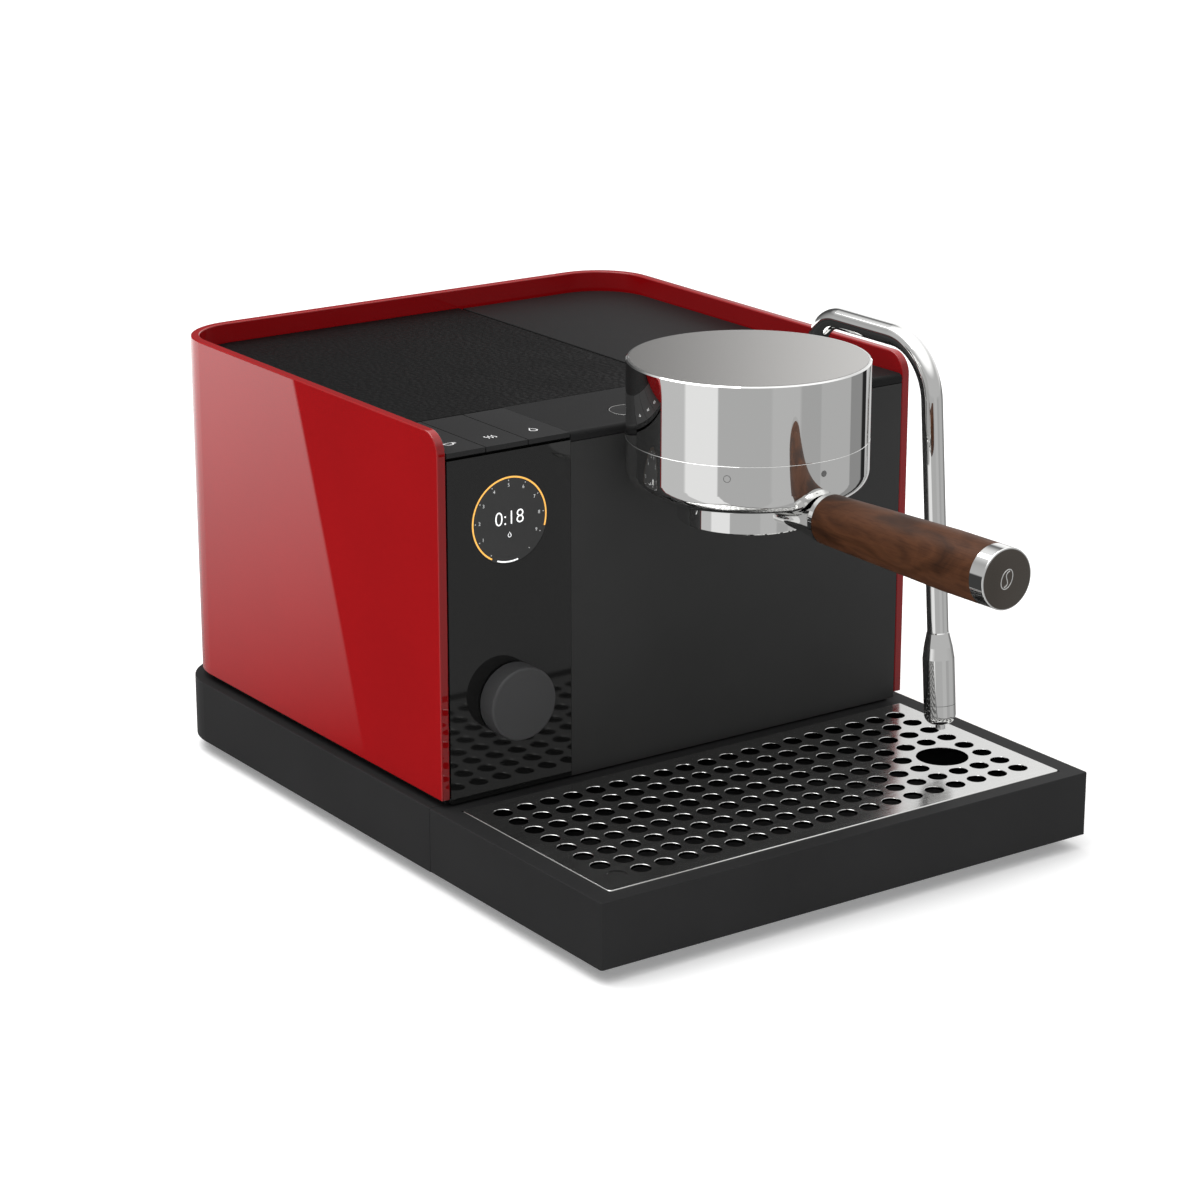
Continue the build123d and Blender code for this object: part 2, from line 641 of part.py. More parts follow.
def display_module():
    """Display unit behind the window."""
    return rod_y(DISPLAY_R - 1, SHELL_FRONT + LENS_T + 0.1, BULKHEAD_Y - 0.1, COLUMN_X, DISPLAY_Z)


def encoder_body():
    """Rotary encoder with a push switch, behind the glossy column."""
    left, right = COLUMN_X - ENCODER_HALF, COLUMN_X + ENCODER_HALF
    front = SHELL_FRONT + PANEL_T
    body = block(left, right, front, BULKHEAD_Y, KNOB_Z - ENCODER_HALF, KNOB_Z + ENCODER_HALF)
    return body - rod_y(SHAFT_R + RUN_FIT, front - 1, BULKHEAD_Y - 1.0, COLUMN_X, KNOB_Z)


def knob_shaft():
    """Encoder shaft, which slides in when the knob is pushed."""
    return rod_y(SHAFT_R, KNOB_FRONT + 4, BULKHEAD_Y - 2.0, COLUMN_X, KNOB_Z)


def knob():
    """Cylindrical knob with an eased front edge."""
    body = rod_y(KNOB_R, KNOB_FRONT, SHELL_FRONT - KNOB_GAP, COLUMN_X, KNOB_Z)
    body = fillet(body.edges().group_by(Axis.Y)[0], KNOB_EDGE_R)
    back_of_face = KNOB_FRONT + KNOB_FACE_T
    hollow = rod_y(KNOB_R - KNOB_WALL, back_of_face, SHELL_FRONT, COLUMN_X, KNOB_Z)
    hub = rod_y(SHAFT_R + 3, back_of_face - WELD, SHELL_FRONT - KNOB_GAP - 1, COLUMN_X, KNOB_Z)
    return body - hollow + hub - rod_y(SHAFT_R + RUN_FIT, back_of_face + 0.8, 0, COLUMN_X, KNOB_Z)


# ---------------------------------------------------------------- brew group
def group_drum():
    """Chrome cover of the brew group, closed at the top."""
    top = DRUM_TOP - 0.1
    outline = [(0, DRUM_TOP - 4), (DRUM_R - DRUM_T, DRUM_TOP - 4), (DRUM_R - DRUM_T, DRUM_SEAM_Z),
               (DRUM_R - SEAM_EDGE, DRUM_SEAM_Z), (DRUM_R, DRUM_SEAM_Z + SEAM_EDGE / 3), (DRUM_R, top - 0.7),
               (DRUM_R - 0.7, top), (DRUM_R - 1.5, top), (DRUM_R - 1.5, DRUM_TOP - 1), (0, DRUM_TOP - 1)]
    return turned(outline, 0, GROUP_Y)


def group_top_disc():
    """Satin disc let into the top of the drum."""
    return rod(DRUM_R - 1.6, DRUM_TOP - 1, DRUM_TOP, 0, GROUP_Y)


def group_ring():
    """Chrome lower ring with a rounded bottom edge and an opening for the portafilter."""
    body = rod(DRUM_R, DRUM_BOTTOM, DRUM_SEAM_Z, 0, GROUP_Y)
    body = fillet(body.edges().group_by(Axis.Z)[0], DRUM_EDGE_R)
    body = chamfer(body.edges().group_by(Axis.Z)[-1], SEAM_EDGE)
    inner = rod(DRUM_R - DRUM_T, DRUM_BOTTOM + 2.5, DRUM_SEAM_Z + 1, 0, GROUP_Y)
    inner = fillet(inner.edges().group_by(Axis.Z)[0], DRUM_EDGE_R - DRUM_T)
    body -= inner
    body -= rod(RING_HOLE_R, LOW, HIGH, 0, GROUP_Y)
    return body - block(-26.5, 26.5, GROUP_Y + 40, 0, 207.8, 224.8)


def group_casting():
    """Cast group head with its arm back to the bulkhead."""
    body = rod(CASTING_R, CASTING_Z, CASTING_TOP, 0, GROUP_Y)
    body += block(-ARM_HALF, ARM_HALF, GROUP_Y + 30, BULKHEAD_Y, CASTING_Z, ARM_TOP)
    body -= rod(EAR_CAVITY_R, LOW, EAR_CAVITY_TOP, 0, GROUP_Y)
    body -= rod(GASKET_R + 0.2, LOW, GASKET_TOP, 0, GROUP_Y)
    return body - rod(SCREEN_SCREW_R + HOLE_FIT, LOW, CASTING_TOP - 2, 0, GROUP_Y)


def bayonet_ring():
    """Locking ring whose two entry slots let the portafilter's ears through."""
    lock = ring(CASTING_R, FILTER_R + 1.0, BAYONET_Z, CASTING_Z, 0, GROUP_Y)
    for ear_angle in (0, 180):
        middle = ear_angle + UNLOCK_ANGLE
        lock -= group_sector(FILTER_R, EAR_CAVITY_R, BAYONET_Z - 1, CASTING_Z + 1, middle, SLOT_SPREAD)
    return lock


def group_gasket():
    """Rubber seal above the filter basket's rim."""
    return ring(GASKET_R, GASKET_BORE_R, FILTER_TOP + 1.6, GASKET_TOP, 0, GROUP_Y)


def shower_screen():
    """Screen that spreads the water over the coffee."""
    bore = SCREEN_SCREW_R + HOLE_FIT
    inner_r = SCREEN_R - SCREEN_T
    floor_z = SCREEN_Z + SCREEN_T
    cup = [(bore, SCREEN_Z), (SCREEN_R, SCREEN_Z), (SCREEN_R, GASKET_TOP), (inner_r, GASKET_TOP),
           (inner_r, floor_z), (bore, floor_z)]
    return turned(cup, 0, GROUP_Y)


def shower_screw():
    """Screw that holds the shower screen up in the group head."""
    head = rod(SCREEN_HEAD_R, SCREEN_Z - SCREEN_HEAD_H, SCREEN_Z, 0, GROUP_Y)
    return head + rod(SCREEN_SCREW_R, SCREEN_Z - WELD, CASTING_TOP - 3, 0, GROUP_Y)


# ---------------------------------------------------------------- portafilter
def tilted_handle(shape):
    """Tilts a handle piece about X where the handle meets the neck."""
    pivot = Pos(0, HANDLE_NEAR_Y, HANDLE_Z)
    return pivot * Rot(-HANDLE_TILT, 0, 0) * pivot.inverse() * shape


def neck_section(y, half_width, half_height, z):
    """One upright oval section of the neck."""
    plane = Plane(origin=(0, y, z), x_dir=(1, 0, 0), z_dir=(0, -1, 0))
    return plane * Ellipse(half_width, half_height)


def portafilter_body():
    """Bottomless filter holder: ring, two locking ears and the scooped neck."""
    wall_in = 32.5
    profile = [(wall_in, FILTER_Z), (FILTER_R - 0.6, FILTER_Z), (FILTER_R, FILTER_Z + 0.6),
               (FILTER_R, 210.6), (35.0, 211.4), (35.0, FILTER_TOP), (BASKET_R + 0.4, FILTER_TOP),
               (BASKET_R + 0.4, 214.5),
               (wall_in, 212.4)]
    body = turned(profile, 0, GROUP_Y)
    near_y = HANDLE_NEAR_Y + FERRULE_LENGTH
    sections = [neck_section(GROUP_Y - 31, 10.5, 5.2, 198.4), neck_section(GROUP_Y - 50, 8.8, 7.4, 199.5),
                neck_section(near_y, HANDLE_NEAR_R, HANDLE_NEAR_R, HANDLE_Z)]
    neck = loft(sections)
    neck -= rod(FILTER_R - 1.5, LOW, HIGH, 0, GROUP_Y)
    envelope = rod(DRUM_R + 0.7, DRUM_BOTTOM - 0.5, DRUM_TOP, 0, GROUP_Y)
    envelope = fillet(envelope.edges().group_by(Axis.Z)[0], DRUM_EDGE_R)
    body += neck - envelope
    for ear_angle in (0, 180):
        body += group_sector(34.0, EAR_R, CASTING_Z + 0.3, EAR_TOP, ear_angle, EAR_SPREAD)
    return body - rod_y(STUD_R + 0.05, HANDLE_NEAR_Y - 5, STUD_END_Y + 0.1, 0, HANDLE_Z)


def filter_basket():
    """Pressed steel basket with a perforated bottom."""
    inner_r = BASKET_R - BASKET_T
    rim_top = FILTER_TOP + 1.2
    cup = [(0, BASKET_Z), (BASKET_R, BASKET_Z), (BASKET_R, FILTER_TOP), (BASKET_RIM_R, FILTER_TOP),
           (BASKET_RIM_R, rim_top), (inner_r, rim_top), (inner_r, BASKET_Z + BASKET_T),
           (0, BASKET_Z + BASKET_T)]
    basket = turned(cup, 0, GROUP_Y)
    punches = Circle(BASKET_HOLE_R)
    for rank in range(1, BASKET_HOLE_RANKS + 1):
        r = BASKET_HOLE_STEP * rank
        for step in range(6 * rank):
            angle = 2 * math.pi * step / (6 * rank)
            punches += Pos(r * math.cos(angle), r * math.sin(angle)) * Circle(BASKET_HOLE_R)
    return basket - Pos(0, GROUP_Y, BASKET_Z - 1) * extrude(punches, 3)


def basket_spring():
    """Wire ring that holds the basket in the filter holder."""
    return Pos(0, GROUP_Y, SPRING_Z) * Torus(SPRING_R, WIRE_R)


def handle_ferrule():
    """Chrome ring between the neck and the wood."""
    band = rod_y(HANDLE_NEAR_R, HANDLE_NEAR_Y, HANDLE_NEAR_Y + FERRULE_LENGTH, 0, HANDLE_Z)
    return band - rod_y(STUD_R + 0.05, HANDLE_NEAR_Y - 1, HANDLE_NEAR_Y + 9, 0, HANDLE_Z)


def handle_grip():
    """Walnut grip, a little thicker towards its free end."""
    far_y = HANDLE_FACE_Y + CAP_LENGTH
    bore = STUD_R + 0.2
    outline = [(bore, WOOD_Y), (HANDLE_NEAR_R, WOOD_Y), (HANDLE_FAR_R, far_y + 30),
               (HANDLE_FAR_R, far_y), (bore, far_y)]
    face = make_face(Polyline([Vector(r, y, 0) for r, y in outline], close=True))
    return tilted_handle(Pos(0, 0, HANDLE_Z) * revolve(face, Axis.Y, 360))


def handle_cap():
    """Chrome end cap with a shallow round recess in its face."""
    cap = rod_y(HANDLE_FAR_R, HANDLE_FACE_Y, HANDLE_FACE_Y + CAP_LENGTH, 0, HANDLE_Z)
    cap = fillet(cap.edges().group_by(Axis.Y)[0], 0.6)
    cap -= rod_y(HANDLE_FAR_R - 1.2, HANDLE_FACE_Y - 1, HANDLE_FACE_Y + 0.6, 0, HANDLE_Z)
    return tilted_handle(cap)


def handle_stud():
    """Threaded rod through the grip that ties the handle to the neck."""
    core = rod_y(STUD_R - 0.4, HANDLE_FACE_Y + CAP_LENGTH, HANDLE_NEAR_Y + 2, 0, HANDLE_Z)
    return tilted_handle(core) + rod_y(STUD_R, HANDLE_NEAR_Y - 0.5, STUD_END_Y, 0, HANDLE_Z)


# ---------------------------------------------------------------- steam wand
def lean_y(z):
    """Y of the wand's leaning drop at height z."""
    return WAND_KNEE_Y + (z - WAND_RUN_Z) * math.tan(math.radians(WAND_LEAN))


def leaning(shape):
    """Tilts an upright piece, drawn about X = Y = 0 with its seam at Z = 0, onto the drop."""
    return Pos(WAND_X, lean_y(TIP_SEAM_Z), TIP_SEAM_Z) * Rot(-WAND_LEAN, 0, 0) * shape


def along_drop(z):
    """Distance along the drop from the tip's seam to height z."""
    return (z - TIP_SEAM_Z) / math.cos(math.radians(WAND_LEAN))


def wand_tube():
    """Steel tube on a ball: up, forward over the group's side and down."""
    points = [(WAND_X, WAND_Y, BALL_Z + 3), (WAND_X, WAND_Y, WAND_RUN_Z), (WAND_X, WAND_KNEE_Y, WAND_RUN_Z),
              (WAND_X, lean_y(TIP_SEAM_Z + 8), TIP_SEAM_Z + 8)]
    bore = WAND_R - WAND_WALL
    pipe = tube(points, [WAND_REAR_BEND, WAND_FRONT_BEND], WAND_R, bore)
    ball = Pos(WAND_X, WAND_Y, BALL_Z) * Sphere(BALL_R)
    return pipe + (ball - rod(bore, BALL_Z - 20, BALL_Z + 20, WAND_X, WAND_Y))


def wand_nut():
    """Chrome nut on the top strip that holds the wand's ball down."""
    nut = rod(NUT_R, BALL_Z, NUT_TOP, WAND_X, WAND_Y)
    nut = fillet(nut.edges().group_by(Axis.Z)[-1], NUT_EDGE_R)
    nut -= Pos(WAND_X, WAND_Y, BALL_Z) * Sphere(BALL_R + RUN_FIT)
    return nut - rod(WAND_R + NECK_CLEAR, BALL_Z, HIGH, WAND_X, WAND_Y)


def wand_socket():
    """Lower half of the ball joint, on the steam outlet."""
    socket = rod(NUT_R, BALL_Z - SOCKET_H, BALL_Z, WAND_X, WAND_Y)
    socket -= Pos(WAND_X, WAND_Y, BALL_Z) * Sphere(BALL_R + RUN_FIT)
    return socket - rod(STEAM_TUBE_R + HOLE_FIT, LOW, BALL_Z, WAND_X, WAND_Y)


def wand_sleeve():
    """Thicker lower end of the wand, with a tapered shoulder."""
    top = along_drop(SLEEVE_TOP_Z)
    bore = WAND_R + 0.05
    outline = [(bore, 0.1), (SLEEVE_R, 0.1), (SLEEVE_R, top - SLEEVE_SHOULDER),
               (SLEEVE_R - 0.9, top - 8), (WAND_R + NECK_CLEAR, top - 0.6), (bore, top)]
    return leaning(turned(outline))


def wand_tip():
    """Screwed steam tip with a round nose and a nozzle."""
    nose = along_drop(TIP_BOTTOM_Z)
    body = Pos(0, 0, nose / 2 - 0.05) * Cylinder(SLEEVE_R, -nose - 0.1)
    body = fillet(body.edges().group_by(Axis.Z)[0], TIP_NOSE_R)
    nozzle_end = along_drop(NOZZLE_BOTTOM_Z)
    nozzle = rod(NOZZLE_R, nozzle_end, nose + 1)
    spigot = rod(WAND_R - 0.4, -0.5, 7.5)
    return leaning(body + nozzle + spigot - rod(NOZZLE_BORE_R, nozzle_end - 1, 9))


# ---------------------------------------------------------------- water tank
def tank_plan(inset):
    """Plan outline of the tank, with its rear right corner round to suit the shell."""
    x0, x1 = TANK_X0 + inset, TANK_X1 - inset
    y0, y1 = TANK_Y0 + inset, TANK_Y1 - inset
    sketch = Pos((x0 + x1) / 2, (y0 + y1) / 2) * Rectangle(x1 - x0, y1 - y0)
    small = sketch.vertices().sort_by(Axis.Y)[:2] + sketch.vertices().sort_by(Axis.Y)[2:].sort_by(Axis.X)[:1]
    large = sketch.vertices().sort_by(Axis.Y)[2:].sort_by(Axis.X)[1:]
    sketch = fillet(large, TANK_R - inset)
    small = [v for v in sketch.vertices() if any(abs(v.X - c.X) + abs(v.Y - c.Y) < 0.01 for c in small)]
    return fillet(small, TANK_SMALL_R - inset)


def water_tank():
    """Open-topped tank."""
    tank = slab(tank_plan(0), TANK_Z0, TANK_TOP) - slab(tank_plan(TANK_T), TANK_Z0 + TANK_T, TANK_TOP + 1)
    return tank - rod(VALVE_STEM_R + HOLE_FIT, TANK_Z0 - 1, TANK_Z0 + 6, VALVE_X, VALVE_Y)


def tank_lid():
    """Flat lift-off lid with a rib that locates it in the tank's mouth."""
    outline = plan(INNER_HALF - LID_GAP, STRIP_REAR + 2 * TRIM_GAP, LID_REAR, LID_CORNER_R)
    lid = slab(outline, LID_Z, TOP_Z) - block(-WIDE, LID_LEFT, 0, DEEP, LOW, HIGH)
    lid = fillet(lid.edges().group_by(Axis.Z)[-1], LID_EDGE_R)
    rib_outside = TANK_T + LID_RIB_IN
    rib = tank_plan(rib_outside) - tank_plan(rib_outside + LID_RIB_T)
    return lid + slab(rib, LID_Z - LID_RIB_DEPTH, LID_Z + 0.2)


def tank_valve():
    """Outlet valve in the tank's floor, which plugs into the seat below."""
    stem = rod(VALVE_STEM_R, TANK_Z0, TANK_Z0 + 6, VALVE_X, VALVE_Y)
    stem += rod(VALVE_R, TANK_Z0 - 9, TANK_Z0, VALVE_X, VALVE_Y)
    return stem - rod(WATER_BORE_R, LOW, HIGH, VALVE_X, VALVE_Y)


def tank_shelf():
    """Shelf on four legs under the tank, with the socket that the tank's valve plugs into."""
    shelf = block(*SHELF_X, *SHELF_Y, SHELF_Z, SHELF_Z + SHELF_T)
    for x in SHELF_LEG_X:
        for y in SHELF_LEG_Y:
            shelf += rod(SHELF_LEG_R, PLATE_TOP, SHELF_Z + 1, x, y)
    shelf -= rod(SEAT_R, LOW, HIGH, VALVE_X, VALVE_Y)
    seat = rod(SEAT_R + WELD, SHELF_Z - SEAT_DEPTH, SHELF_Z + SHELF_T, VALVE_X, VALVE_Y)
    seat += rod(SEAT_FLANGE_R, SHELF_Z - 4, SHELF_Z + 0.5, VALVE_X, VALVE_Y)
    seat -= rod(VALVE_R + HOLE_CLEAR, SHELF_Z - SEAT_FLOOR, HIGH, VALVE_X, VALVE_Y)
    seat += rod(SPOUT_R, SHELF_Z - SPOUT_END, SHELF_Z - SEAT_DEPTH + 1, VALVE_X, VALVE_Y)
    return shelf + seat - rod(WATER_BORE_R, LOW, SHELF_Z, VALVE_X, VALVE_Y)


# ---------------------------------------------------------------- water and steam circuit
def boiler():
    """Boiler vessel on three legs, with a bolting flange at its top."""
    bore = BOILER_R - BOILER_WALL
    flange_z = BOILER_Z1 - BOILER_FLANGE_T
    vessel = ring(BOILER_R, bore, BOILER_Z0, BOILER_Z1, BOILER_X, BOILER_Y)
    vessel += rod(BOILER_R, BOILER_Z0, BOILER_Z0 + 3, BOILER_X, BOILER_Y)
    vessel += ring(BOILER_FLANGE_R, bore, flange_z, BOILER_Z1, BOILER_X, BOILER_Y)
    for x, y in around_boiler(BOILER_BOLT_CIRCLE, BOILER_BOLTS, 0):
        vessel -= rod(BOLT_R + HOLE_FIT, flange_z - 2, HIGH, x, y)
    for x, y in around_boiler(BOILER_LEG_CIRCLE, 3, 90):
        vessel += rod(BOILER_LEG_R, PLATE_TOP, BOILER_Z0 + 1, x, y)
    return vessel


def around_boiler(radius, count, first):
    """Evenly spaced places on a circle round the boiler's axis, from an angle in degrees."""
    angles = [math.radians(first + 360 * i / count) for i in range(count)]
    return [(BOILER_X + radius * math.cos(a), BOILER_Y + radius * math.sin(a)) for a in angles]


def heater_flange():
    """Top plate of the boiler with the bent heater rod that hangs from it."""
    lid = rod(BOILER_FLANGE_R, BOILER_Z1, BOILER_LID_TOP, BOILER_X, BOILER_Y)
    for x, y in around_boiler(BOILER_BOLT_CIRCLE, BOILER_BOLTS, 0):
        lid -= rod(BOLT_R + HOLE_FIT, LOW, HIGH, x, y)
    x0, x1 = BOILER_X - HEATER_HALF, BOILER_X + HEATER_HALF
    top, low = BOILER_Z1 + 12, HEATER_LOW_Z
    points = [(x0, BOILER_Y, top), (x0, BOILER_Y, low), (x1, BOILER_Y, low), (x1, BOILER_Y, top)]
    return lid + tube(points, [HEATER_BEND, HEATER_BEND], HEATER_R)


def boiler_bolts():
    """Six bolts round the boiler's flange."""
    bolts = Part()
    for x, y in around_boiler(BOILER_BOLT_CIRCLE, BOILER_BOLTS, 0):
        bolts += rod(BOLT_HEAD_R, BOILER_LID_TOP, BOILER_LID_TOP + BOLT_HEAD_H, x, y)
        bolts += rod(BOLT_R, BOILER_LID_TOP - BOLT_LENGTH, BOILER_LID_TOP + WELD, x, y)
    return bolts


def pump():
    """Vibrating water pump with its brass outlet."""
    body = rod_y(PUMP_R, PUMP_Y0, PUMP_Y1, PUMP_X, PUMP_Z)
    body += rod_y(PUMP_OUTLET_R, PUMP_Y1 - 1, PUMP_Y1 + PUMP_OUTLET_L, PUMP_X, PUMP_Z)
    return body + rod_y(PUMP_INTAKE_R, PUMP_Y0 - PUMP_INTAKE_L, PUMP_Y0 + 1, PUMP_X, PUMP_Z)


def pump_mounts():
    """Two rubber blocks that carry the pump."""
    mounts = Part()
    for y in (PUMP_Y0 + 8, PUMP_Y1 - 20):
        left, right = PUMP_X - PUMP_MOUNT_HALF, PUMP_X + PUMP_MOUNT_HALF
        mounts += block(left, right, y, y + PUMP_MOUNT_T, PLATE_TOP, PUMP_Z + 12)
    return mounts - rod_y(PUMP_R + HOLE_FIT, 0, DEEP, PUMP_X, PUMP_Z)


def solenoid_valve():
    """Three-way valve with its coil, on the bulkhead behind the brew group."""
    behind = BULKHEAD_Y + BULKHEAD_T
    body = block(-SOLENOID_HALF, SOLENOID_HALF, behind, SOLENOID_REAR, SOLENOID_Z0, SOLENOID_Z1)
    return body + rod_y(COIL_R, SOLENOID_REAR - 1, COIL_REAR, 0, (SOLENOID_Z0 + SOLENOID_Z1) / 2)


def water_tubes():
    """Silicone and pressure tubes from the tank seat to the group."""
    seat_z = SHELF_Z - SPOUT_END - PIPE_GAP
    intake_y = PUMP_Y0 - PUMP_INTAKE_L - 2 * PIPE_GAP
    tank_to_pump = tube([(VALVE_X, VALVE_Y, seat_z), (VALVE_X, VALVE_Y, PUMP_Z),
                         (PUMP_X, PUMP_Y0 - 26, PUMP_Z), (PUMP_X, intake_y, PUMP_Z)],
                        [7, 9], WATER_TUBE_R)
    boiler_end = BOILER_LID_TOP + PIPE_GAP
    outlet_y = PUMP_Y1 + PUMP_OUTLET_L + 2 * PIPE_GAP
    rear_y = outlet_y + BEHIND_PIPE
    entry_y = BOILER_Y + 26
    pump_to_boiler = tube([(PUMP_X, outlet_y, PUMP_Z), (PUMP_X, rear_y, PUMP_Z),
                           (BOILER_X, rear_y, PUMP_Z), (BOILER_X, rear_y, HIGH_PIPE_Z),
                           (BOILER_X, entry_y, HIGH_PIPE_Z), (BOILER_X, entry_y, boiler_end)],
                          [8, 12, 12, 8], WATER_TUBE_R)
    exit_x, exit_y = BOILER_X + 24, BOILER_Y - 20
    boiler_to_valve = tube([(exit_x, exit_y, boiler_end), (exit_x, exit_y, VALVE_PIPE_Z),
                            (5, 6, VALVE_PIPE_Z), (5, 6, SOLENOID_Z1 + PIPE_GAP)],
                           [8, 8], WATER_TUBE_R)
    return Part() + [tank_to_pump, pump_to_boiler, boiler_to_valve]


def steam_tube():
    """Steam pipe from the boiler to the wand's socket."""
    exit_x, exit_y = BOILER_X + 26, BOILER_Y + 20
    high = STEAM_PIPE_Z
    points = [(exit_x, exit_y, BOILER_LID_TOP + PIPE_GAP), (exit_x, exit_y, high), (30, 40, high),
              (WAND_X, 40, high), (WAND_X, WAND_Y, high), (WAND_X, WAND_Y, BALL_Z - SOCKET_H - PIPE_GAP)]
    return tube(points, [7, 12, 12, 8], STEAM_TUBE_R)


# ---------------------------------------------------------------- electrics
def control_board():
    """Main circuit board behind the bulkhead with its larger components."""
    left, right, bottom, top = MAIN_BOARD
    y0 = BULKHEAD_Y + BULKHEAD_T + MAIN_BOARD_GAP
    rear = y0 + BOARD_T
    board = block(left, right, y0, rear, bottom, top)
    for x in (left + 4, right - 4):
        for z in (bottom + 6, top - 9):
            board += rod_y(STANDOFF_R, y0 - MAIN_BOARD_GAP, y0 + 0.5, x, z)
    for x, z, width, height, depth in CHIPS:
        board += block(x, x + width, rear - WELD, rear + depth, z, z + height)
    return board


def power_supply():
    """Mains board with its transformer, on the floor plate."""
    left, right, front, rear = SUPPLY
    top = SUPPLY_Z + BOARD_T
    board = block(left, right, front, rear, SUPPLY_Z, top)
    for x in (left + 4, right - 4):
        for y in (front + 4, rear - 4):
            board += rod(STANDOFF_R + 0.5, PLATE_TOP, SUPPLY_Z + 0.5, x, y)
    transformer = block(left + 8, left + 42, front + 10, front + 50, top - WELD, 52)
    capacitor = block(right - 22, right - 6, front + 10, front + 35, top - WELD, 38)
    return board + transformer + capacitor


def around(x, half_x, y0, y1, half_z):
    """A box whose middle is at x and at the height of the mains inlet."""
    return block(x - half_x, x + half_x, y0, y1, INLET_Z - half_z, INLET_Z + half_z)


def power_inlet():
    """Three-pin mains inlet and the frame of the mains switch, in the back of the base."""
    face = REAR_Y - 0.2
    body = around(INLET_X, INLET_HALF_X, face - INLET_DEPTH, face, INLET_HALF_Z)
    body -= around(INLET_X, SOCKET_HALF_X, face - SOCKET_DEPTH, face + 1, SOCKET_HALF_Z)
    for x, z in PINS:
        x, z = INLET_X + x, INLET_Z + z
        body += block(x - 1, x + 1, face - SOCKET_DEPTH - 1, face - 5, z - 2, z + 2)
    frame = around(ROCKER_X, SWITCH_HALF, face - SWITCH_DEPTH, face, SWITCH_HALF)
    frame -= around(ROCKER_X, SWITCH_MOUTH, face - SWITCH_WELL, face + 1, SWITCH_MOUTH)
    pivot_half = PIVOT_HALF + HOLE_CLEAR
    frame -= rod(PIVOT_R + RUN_FIT, INLET_Z - pivot_half, INLET_Z + pivot_half, ROCKER_X, ROCKER_Y)
    left, right = INLET_X + INLET_HALF_X - 1, ROCKER_X - SWITCH_HALF + 1
    bridge = block(left, right, face - INLET_DEPTH, face - 8, INLET_Z - 8, INLET_Z + 8)
    return body + bridge + frame


def power_rocker():
    """Rocker of the mains switch on its two trunnions, resting on its off side."""
    paddle = block(-PADDLE_HALF_X, PADDLE_HALF_X, -PADDLE_BACK, PADDLE_FACE, -PADDLE_HALF_Z, PADDLE_HALF_Z)
    paddle = fillet(paddle.edges().filter_by(Axis.Z).group_by(Axis.Y)[-1], 1.0)
    paddle += rod(PIVOT_R, -PIVOT_HALF, PIVOT_HALF)
    return Pos(ROCKER_X, ROCKER_Y, INLET_Z) * Rot(0, 0, -ROCKER_TILT) * paddle


NODES = {
    "base_plate": base_plate(),
    "feet": feet(),
    "base_screws": base_screws(),
    "base_housing": base_housing(),
    "outer_shell": outer_shell(),
    "tray_tub": tray_tub(),
    "drip_grate": drip_grate(),
    "control_panel": control_panel(),
    "front_panel": front_panel(),
    "bulkhead": bulkhead(),
    "top_deck": top_deck(),
    "top_strip": top_strip(),
    "cup_mat": cup_mat(),
    "brew_key": key(0),
    "steam_key": key(1),
    "water_key": key(2),
    "key_board": key_board(),
    "power_button": power_button(),
    "display_lens": display_lens(),
    "display_module": display_module(),
    "encoder_body": encoder_body(),
    "knob_shaft": knob_shaft(),
    "knob": knob(),
    "group_drum": group_drum(),
    "group_top_disc": group_top_disc(),
    "group_ring": group_ring(),
    "group_casting": group_casting(),
    "bayonet_ring": bayonet_ring(),
    "group_gasket": group_gasket(),
    "shower_screen": shower_screen(),
    "shower_screw": shower_screw(),
    "portafilter_body": portafilter_body(),
    "filter_basket": filter_basket(),
    "basket_spring": basket_spring(),
    "handle_ferrule": handle_ferrule(),
    "handle_grip": handle_grip(),
    "handle_cap": handle_cap(),
    "handle_stud": handle_stud(),
    "wand_tube": wand_tube(),
    "wand_nut": wand_nut(),
    "wand_socket": wand_socket(),
    "wand_sleeve": wand_sleeve(),
    "wand_tip": wand_tip(),
    "water_tank": water_tank(),
    "tank_lid": tank_lid(),
    "tank_valve": tank_valve(),
    "tank_shelf": tank_shelf(),
    "boiler": boiler(),
    "heater_flange": heater_flange(),
    "boiler_bolts": boiler_bolts(),
    "pump": pump(),
    "pump_mounts": pump_mounts(),
    "solenoid_valve": solenoid_valve(),
    "water_tubes": water_tubes(),
    "steam_tube": steam_tube(),
    "control_board": control_board(),
    "power_supply": power_supply(),
    "power_inlet": power_inlet(),
    "power_rocker": power_rocker(),
}

os.makedirs("parts", exist_ok=True)
for name, shape in NODES.items():
    export_step(shape, f"parts/{name}.step")
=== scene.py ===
import bpy
import math
from mathutils import Matrix, Vector


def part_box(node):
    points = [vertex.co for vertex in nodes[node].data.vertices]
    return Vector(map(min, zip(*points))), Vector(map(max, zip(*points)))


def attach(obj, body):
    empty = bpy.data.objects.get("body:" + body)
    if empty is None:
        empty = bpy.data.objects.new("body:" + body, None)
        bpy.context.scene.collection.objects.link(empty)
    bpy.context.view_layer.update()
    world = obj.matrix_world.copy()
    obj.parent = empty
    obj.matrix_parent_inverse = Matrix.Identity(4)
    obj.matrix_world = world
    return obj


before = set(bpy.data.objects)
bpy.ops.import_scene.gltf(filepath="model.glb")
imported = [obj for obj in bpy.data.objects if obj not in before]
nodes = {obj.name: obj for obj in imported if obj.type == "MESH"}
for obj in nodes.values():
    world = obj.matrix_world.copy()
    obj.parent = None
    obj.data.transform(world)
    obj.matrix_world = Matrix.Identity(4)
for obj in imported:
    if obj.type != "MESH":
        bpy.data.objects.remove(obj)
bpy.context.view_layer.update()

MM = 0.001
PRINT_T = 0.04 * MM  # thickness of printed and lit marks
LIFT = 0.02 * MM  # how far a mark stands clear of the face it is printed on


